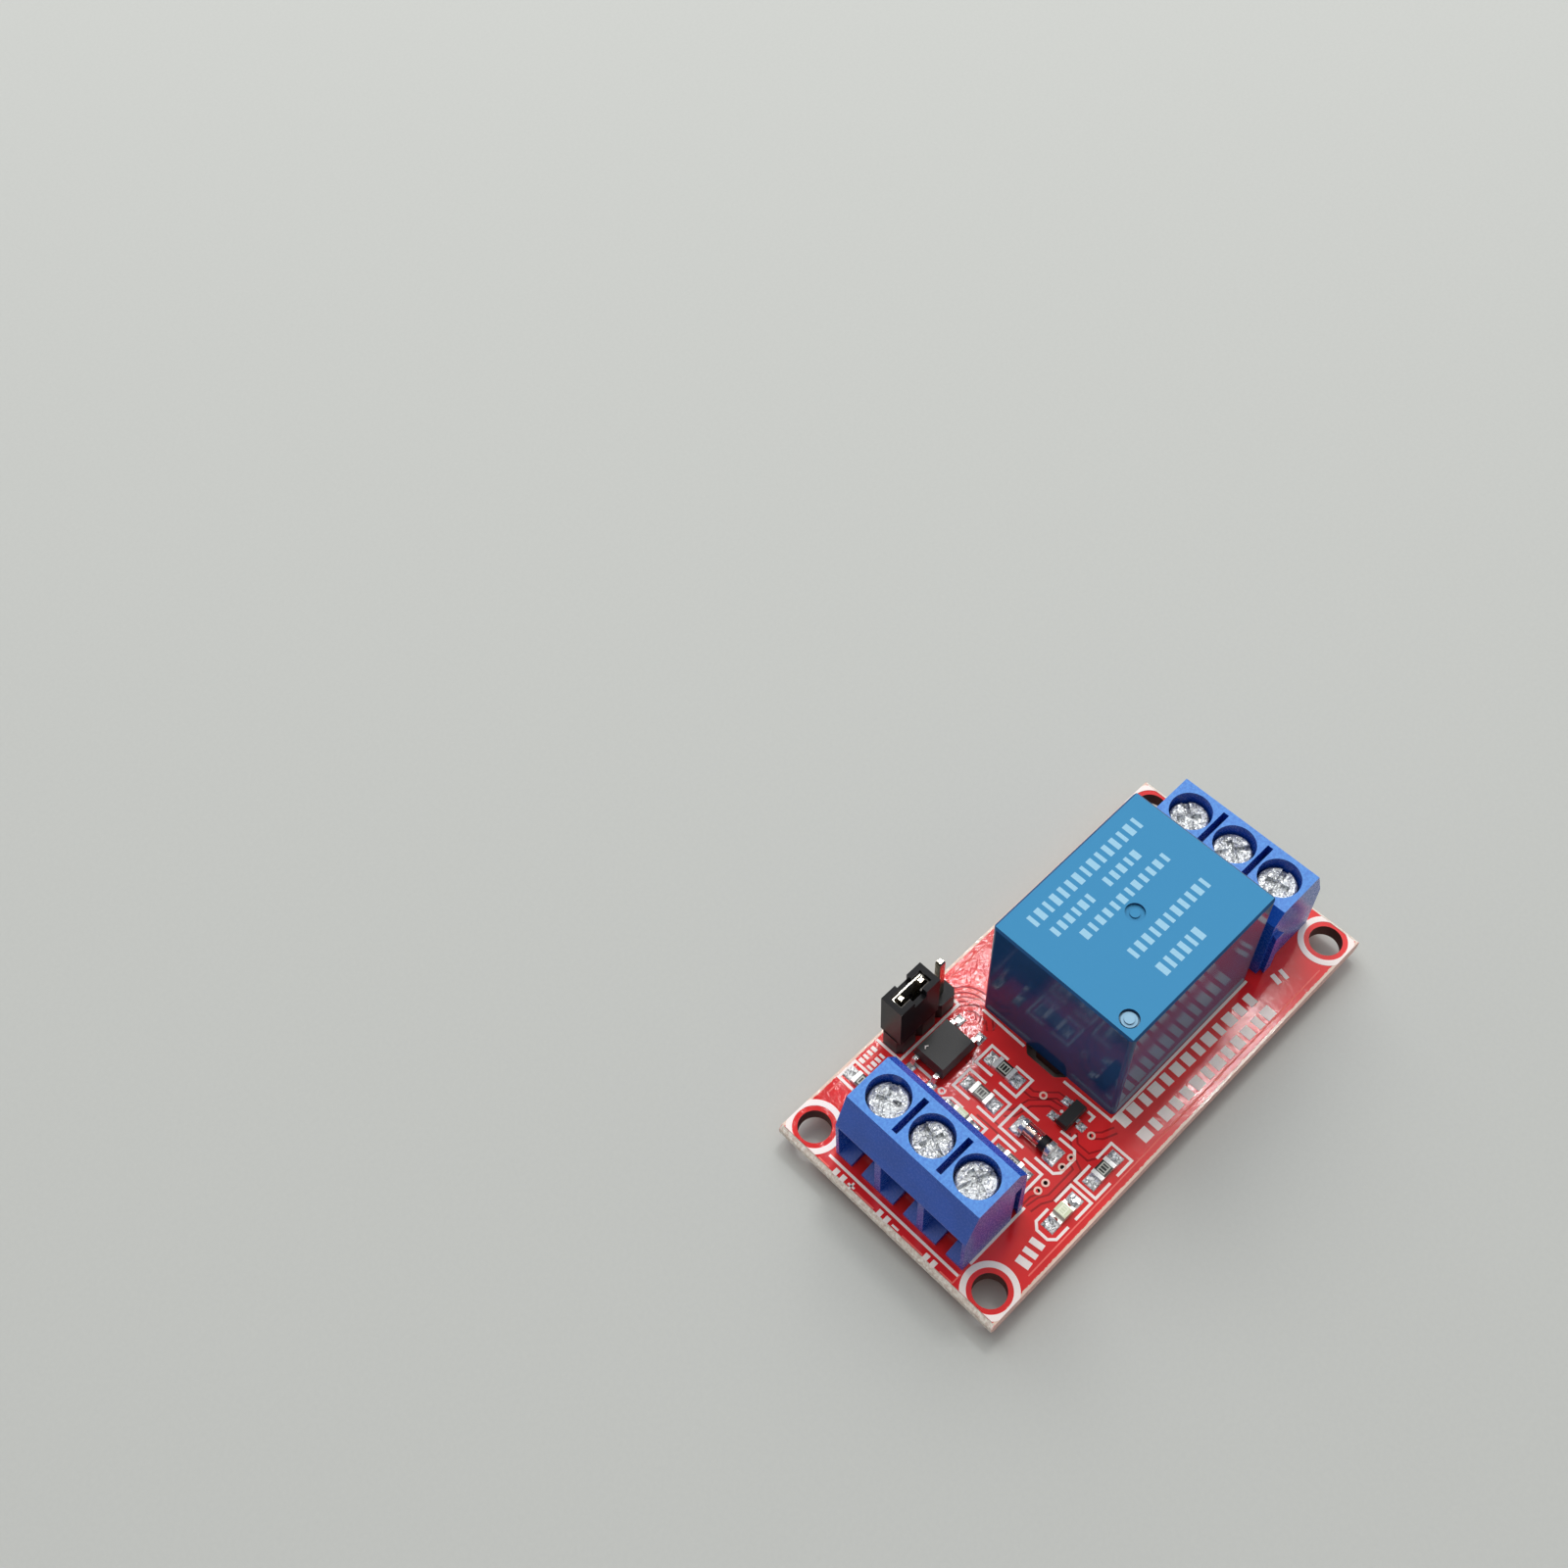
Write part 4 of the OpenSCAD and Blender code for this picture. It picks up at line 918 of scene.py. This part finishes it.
# Rows of bars on the relay's top, from its middle: y, both ends in x, and the bars' height.
RELAY_ROWS = [
    (5.6, -7.2, 7.4, 1.25),
    (3.6, -6.6, -1.2, 1.0),
    (3.6, 0.2, 4.8, 1.0),
    (1.62, -5.0, 6.4, 1.0),
    (-2.4, -3.6, 6.8, 1.15),
    (-5.1, -3.0, 2.6, 1.3),
]


class FinishRelay(bpy.types.Operator):
    """Gives the relay's cover and the pieces inside it their finishes"""

    bl_idname = "relay_board.finish_relay"
    bl_label = "Relay"

    def execute(self, context):
        wear(relay_finish(context.scene.relay_settings), "relay_cover")
        wear(plastic_finish("relay_base_plastic", tone(30, 44, 70), rough=0.4), "relay_base")
        wear(plastic_finish("bobbin_plastic", tone(232, 230, 220), rough=0.45), "relay_bobbin")
        wear(winding_finish(), "relay_coil")
        iron = metal_finish("relay_iron", (0.66, 0.67, 0.68), rough=(0.22, 0.42), lump=1.4, depth=0.02)
        wear(iron, "relay_core", "relay_yoke", "relay_armature")
        bronze = tone(214, 160, 104)
        spring = metal_finish("spring_bronze", bronze, rough=(0.2, 0.36), lump=1.6, depth=0.015)
        wear(spring, "relay_blade", "relay_return_leaf")
        plating = (0.92, 0.92, 0.9)
        silver = metal_finish("contact_silver", plating, rough=(0.08, 0.22), lump=2.0, depth=0.015)
        wear(silver, "relay_moving_contact", "relay_contact_tips")
        yellow = tone(214, 180, 110)
        brass = metal_finish("carrier_brass", yellow, rough=(0.2, 0.38), lump=1.4, depth=0.02)
        wear(brass, "relay_contact_no", "relay_contact_nc", "relay_common_pin")
        tin = metal_finish("pin_tin", (0.78, 0.78, 0.77), rough=(0.2, 0.4), lump=1.6, depth=0.02)
        wear(tin, "relay_coil_pins")
        return {"FINISHED"}


class PrintRelay(bpy.types.Operator):
    """Lays plain bars on the relay's top, where a printed relay has its ratings"""

    bl_idname = "relay_board.print_relay"
    bl_label = "Relay print"

    def execute(self, context):
        ink = print_finish("relay_ink", context.scene.relay_settings.print_colour)
        sunk, height, pitch, width = 0.004, 0.01, 0.95, 0.62
        z = float(RELAY_HIGH[2]) - sunk
        middle = (RELAY_LOW[:2] + RELAY_HIGH[:2]) / 2
        marks = []
        for y, left, right, tall in RELAY_ROWS:
            ends = middle + (left, y), middle + (right, y)
            marks += bar_row(*ends, pitch, (width, tall), y, z, height)
        add_piece("relay_marks", marks, ink)
        return {"FINISHED"}


# ---- small parts ----


class FinishSmallParts(bpy.types.Operator):
    """Gives the header, jumper, chips, lamps and diode their finishes"""

    bl_idname = "relay_board.finish_small_parts"
    bl_label = "Small parts"

    def execute(self, context):
        header = plastic_finish("header_plastic", tone(26, 26, 28), rough=0.34, shine=0.2)
        wear(header, "header_base")
        black = tone(24, 24, 27)
        cap = plastic_finish("jumper_plastic", black, rough=0.34, grain_scale=8.0, shine=0.14)
        wear(cap, "jumper_cap")
        plate = metal_finish(
            "header_plate", tone(252, 240, 214), rough=(0.1, 0.24), lump=1.6, depth=0.03, hollow_shade_share=0.9,
        )
        wear(plate, "header_pins")
        wear(jumper_contact_finish(), "jumper_contact")
        grey = tone(42, 42, 42)
        epoxy = plastic_finish("moulded_epoxy", grey, rough=0.42, grain_scale=9.0, depth=0.02)
        wear(epoxy, "optocoupler_body", "transistor_body")
        tin = metal_finish(
            "lead_tin", (0.92, 0.92, 0.9), rough=(0.1, 0.24), lump=2.0, depth=0.05,
            hollow_shade_share=0.9, crease_shade=0.5, frost=0.25,
        )
        wear(tin, "optocoupler_leads", "transistor_leads", "diode_end_caps")
        glaze = {
            "body_colour": tone(22, 26, 22),
            "mark_colour": tone(206, 208, 196),
            "end_colour": (0.86, 0.86, 0.84),
            "end_length": 0.42,
            "mark_span": (0.5, 0.42),
        }
        lens = {
            "body_colour": tone(206, 214, 176),
            "mark_colour": tone(236, 238, 214),
            "end_colour": (0.86, 0.84, 0.74),
            "end_length": 0.38,
            "mark_span": (0.42, 0.34),
        }
        for name in CHIPS:
            kind, look = ("epoxy", lens) if "lamp" in name else ("glaze", glaze)
            wear(chip_finish(f"{name}_{kind}", name, **look), name)
        wear(glass_finish(), "diode_glass")
        band = print_finish("diode_band_ink", tone(16, 16, 18))
        add_piece("diode_band", [glass_band("diode_glass", 0.15, 0.8)], band)
        return {"FINISHED"}


# ---- stage ----

# The floor reaches this far from the middle, and lamps stand at these places, in metres. Each lamp
# has its name, place, size, turn in degrees (none: it is aimed at the board), power in watts, and
# whether it shows in glossy surfaces.
FLOOR_REACH = 1.2
LAMPS = [
    ("window_light", (0.22, 0.34, 0.68), (0.7, 0.7), None, 3.4, False),
    ("tube_lamp", (0.2926, 0.155, 0.68), (0.15, 0.028), 124.7, 0.85, True),
]
# The camera: where it is, the way it looks, and its roll in degrees.
EYE = (-65.13, -36.35, 158.48)
SIGHT = (0.354124, 0.404203, -0.843337)
ROLL = -3.874
# The light of the room is strongest from the first way, and its bands change along the second.
SKY_WAY = (0.38, 0.5, 0.78)
BANDS_WAY = (0.75, -0.66, 0.0)


def aimed(location, target, roll=0.0):
    """The matrix of a lamp or camera at a location that looks at a target."""
    way = np.array(target, float) - location
    way /= np.linalg.norm(way)
    right = np.cross(way, (0, 0, 1))
    right /= np.linalg.norm(right)
    up = np.cross(right, way)
    c, s = math.cos(roll), math.sin(roll)
    right, up = c * right + s * up, c * up - s * right
    rows = np.column_stack([right, up, -way, location])
    return Matrix(np.vstack([rows, (0, 0, 0, 1)]).tolist())


def paper_finish(settings):
    """Matt floor paper with faint specks, a little darker toward the camera's side."""
    f = Finish("floor_paper")
    x, y, _ = f.split(f.place())
    far = ((x + y) * math.sqrt(0.5)).smooth(-60, 260)
    near_colour = dimmed(settings.floor_colour, 0.9)
    speck = f.noise(2.4, 2, 0.7).smooth(0.2, 0.8) * 0.05
    paper = f.mix(speck, f.mix(far, near_colour, settings.floor_colour), tone(120, 124, 126))
    return f.surface(base_color=paper, roughness=0.7, normal=f.bump(f.noise(0.9, 3), 0.02, 0.3))


def make_floor(settings):
    """One square of paper."""
    mesh = bpy.data.meshes.new("floor")
    corners = [(-1, -1, 0), (-1, 1, 0), (1, -1, 0), (1, 1, 0)]
    mesh.from_pydata((np.array(corners) * FLOOR_REACH).tolist(), [], [[0, 2, 3, 1]])
    mesh.materials.append(paper_finish(settings))
    floor = bpy.data.objects.new("floor", mesh)
    bpy.context.scene.collection.objects.link(floor)


def make_lamps():
    """The soft lamp of a window, and the narrow one that glares in the lacquer."""
    for name, place, size, turn, power, in_gloss in LAMPS:
        data = bpy.data.lights.new(name, "AREA")
        data.shape = "RECTANGLE"
        data.size, data.size_y = size
        data.energy = power
        lamp = bpy.data.objects.new(name, data)
        if turn is None:
            lamp.matrix_world = aimed(place, (0, 0, 0))
        else:
            spin = Matrix.Rotation(math.radians(turn), 4, "Z")
            lamp.matrix_world = Matrix.Translation(place) @ spin
        lamp.visible_glossy = in_gloss
        bpy.context.scene.collection.objects.link(lamp)


def make_room():
    """Light from all round: stronger from high on the window's side, times bright and dim bands
    that follow the sine of 9 times the way along the room, less a quarter turn."""
    world = bpy.data.worlds.new("plain_room")
    world.use_nodes = True
    room = NodeTree(world.node_tree)
    way = room.node("ShaderNodeTexCoord", output="Generated")

    def toward(direction):
        """How far a ray goes along a direction."""
        settings = {"operation": "DOT_PRODUCT"}
        return room.node("ShaderNodeVectorMath", settings, {0: way, 1: direction}, output="Value")

    sky = toward(SKY_WAY).smooth(-0.35, 0.95, bottom=0.16, top=0.6)
    waves = toward(BANDS_WAY).math("MULTIPLY_ADD", 9.0, -1.571).math("SINE")
    bands = waves.smooth(-0.4, 0.4, bottom=0.6, top=1.9)
    inputs = {"Color": (1, 1, 1, 1), "Strength": sky * bands}
    light = room.node("ShaderNodeBackground", None, inputs)
    room.node("ShaderNodeOutputWorld", None, {"Surface": light})
    bpy.context.scene.world = world


def make_camera(settings):
    """The camera at the eye, turned along the sight."""
    data = bpy.data.cameras.new("camera")
    data.lens = settings.lens
    data.sensor_width = 36
    camera = bpy.data.objects.new("camera", data)
    eye = np.array(EYE) * MM
    camera.matrix_world = aimed(eye, eye + SIGHT, math.radians(ROLL))
    bpy.context.scene.collection.objects.link(camera)
    bpy.context.scene.camera = camera


class SetStage(bpy.types.Operator):
    """Makes the floor, the soft light and the camera"""

    bl_idname = "relay_board.set_stage"
    bl_label = "Stage"

    def execute(self, context):
        settings = context.scene.stage_settings
        make_floor(settings)
        make_lamps()
        make_room()
        context.scene.view_settings.view_transform = "Standard"
        make_camera(settings)
        return {"FINISHED"}


# ---- panel and registration ----

OPERATORS = (
    FinishBoard,
    PrintBoard,
    SolderParts,
    FinishBlocks,
    FinishRelay,
    PrintRelay,
    FinishSmallParts,
    SetStage,
)
SETTINGS = {
    "board_settings": BoardSettings,
    "block_settings": BlockSettings,
    "relay_settings": RelaySettings,
    "stage_settings": StageSettings,
}


class RelayBoardPanel(bpy.types.Panel):
    """Lists the steps that dress the board"""

    bl_idname = "VIEW3D_PT_relay_board"
    bl_label = "Relay module board"
    bl_space_type = "VIEW_3D"
    bl_region_type = "UI"
    bl_category = "Relay board"

    def draw(self, context):
        for name, group in SETTINGS.items():
            box = self.layout.box()
            for key in group.__annotations__:
                box.prop(getattr(context.scene, name), key)
        for step in OPERATORS:
            self.layout.operator(step.bl_idname)


def register():
    for group in SETTINGS.values():
        bpy.utils.register_class(group)
    for step in OPERATORS + (RelayBoardPanel,):
        bpy.utils.register_class(step)
    for name, group in SETTINGS.items():
        setattr(bpy.types.Scene, name, bpy.props.PointerProperty(type=group))


def unregister():
    for name in SETTINGS:
        delattr(bpy.types.Scene, name)
    for step in (RelayBoardPanel,) + OPERATORS[::-1]:
        bpy.utils.unregister_class(step)
    for group in SETTINGS.values():
        bpy.utils.unregister_class(group)


def main():
    register()
    for step in OPERATORS:
        group, call = step.bl_idname.split(".")
        getattr(getattr(bpy.ops, group), call)()


if __name__ == "__main__":
    main()
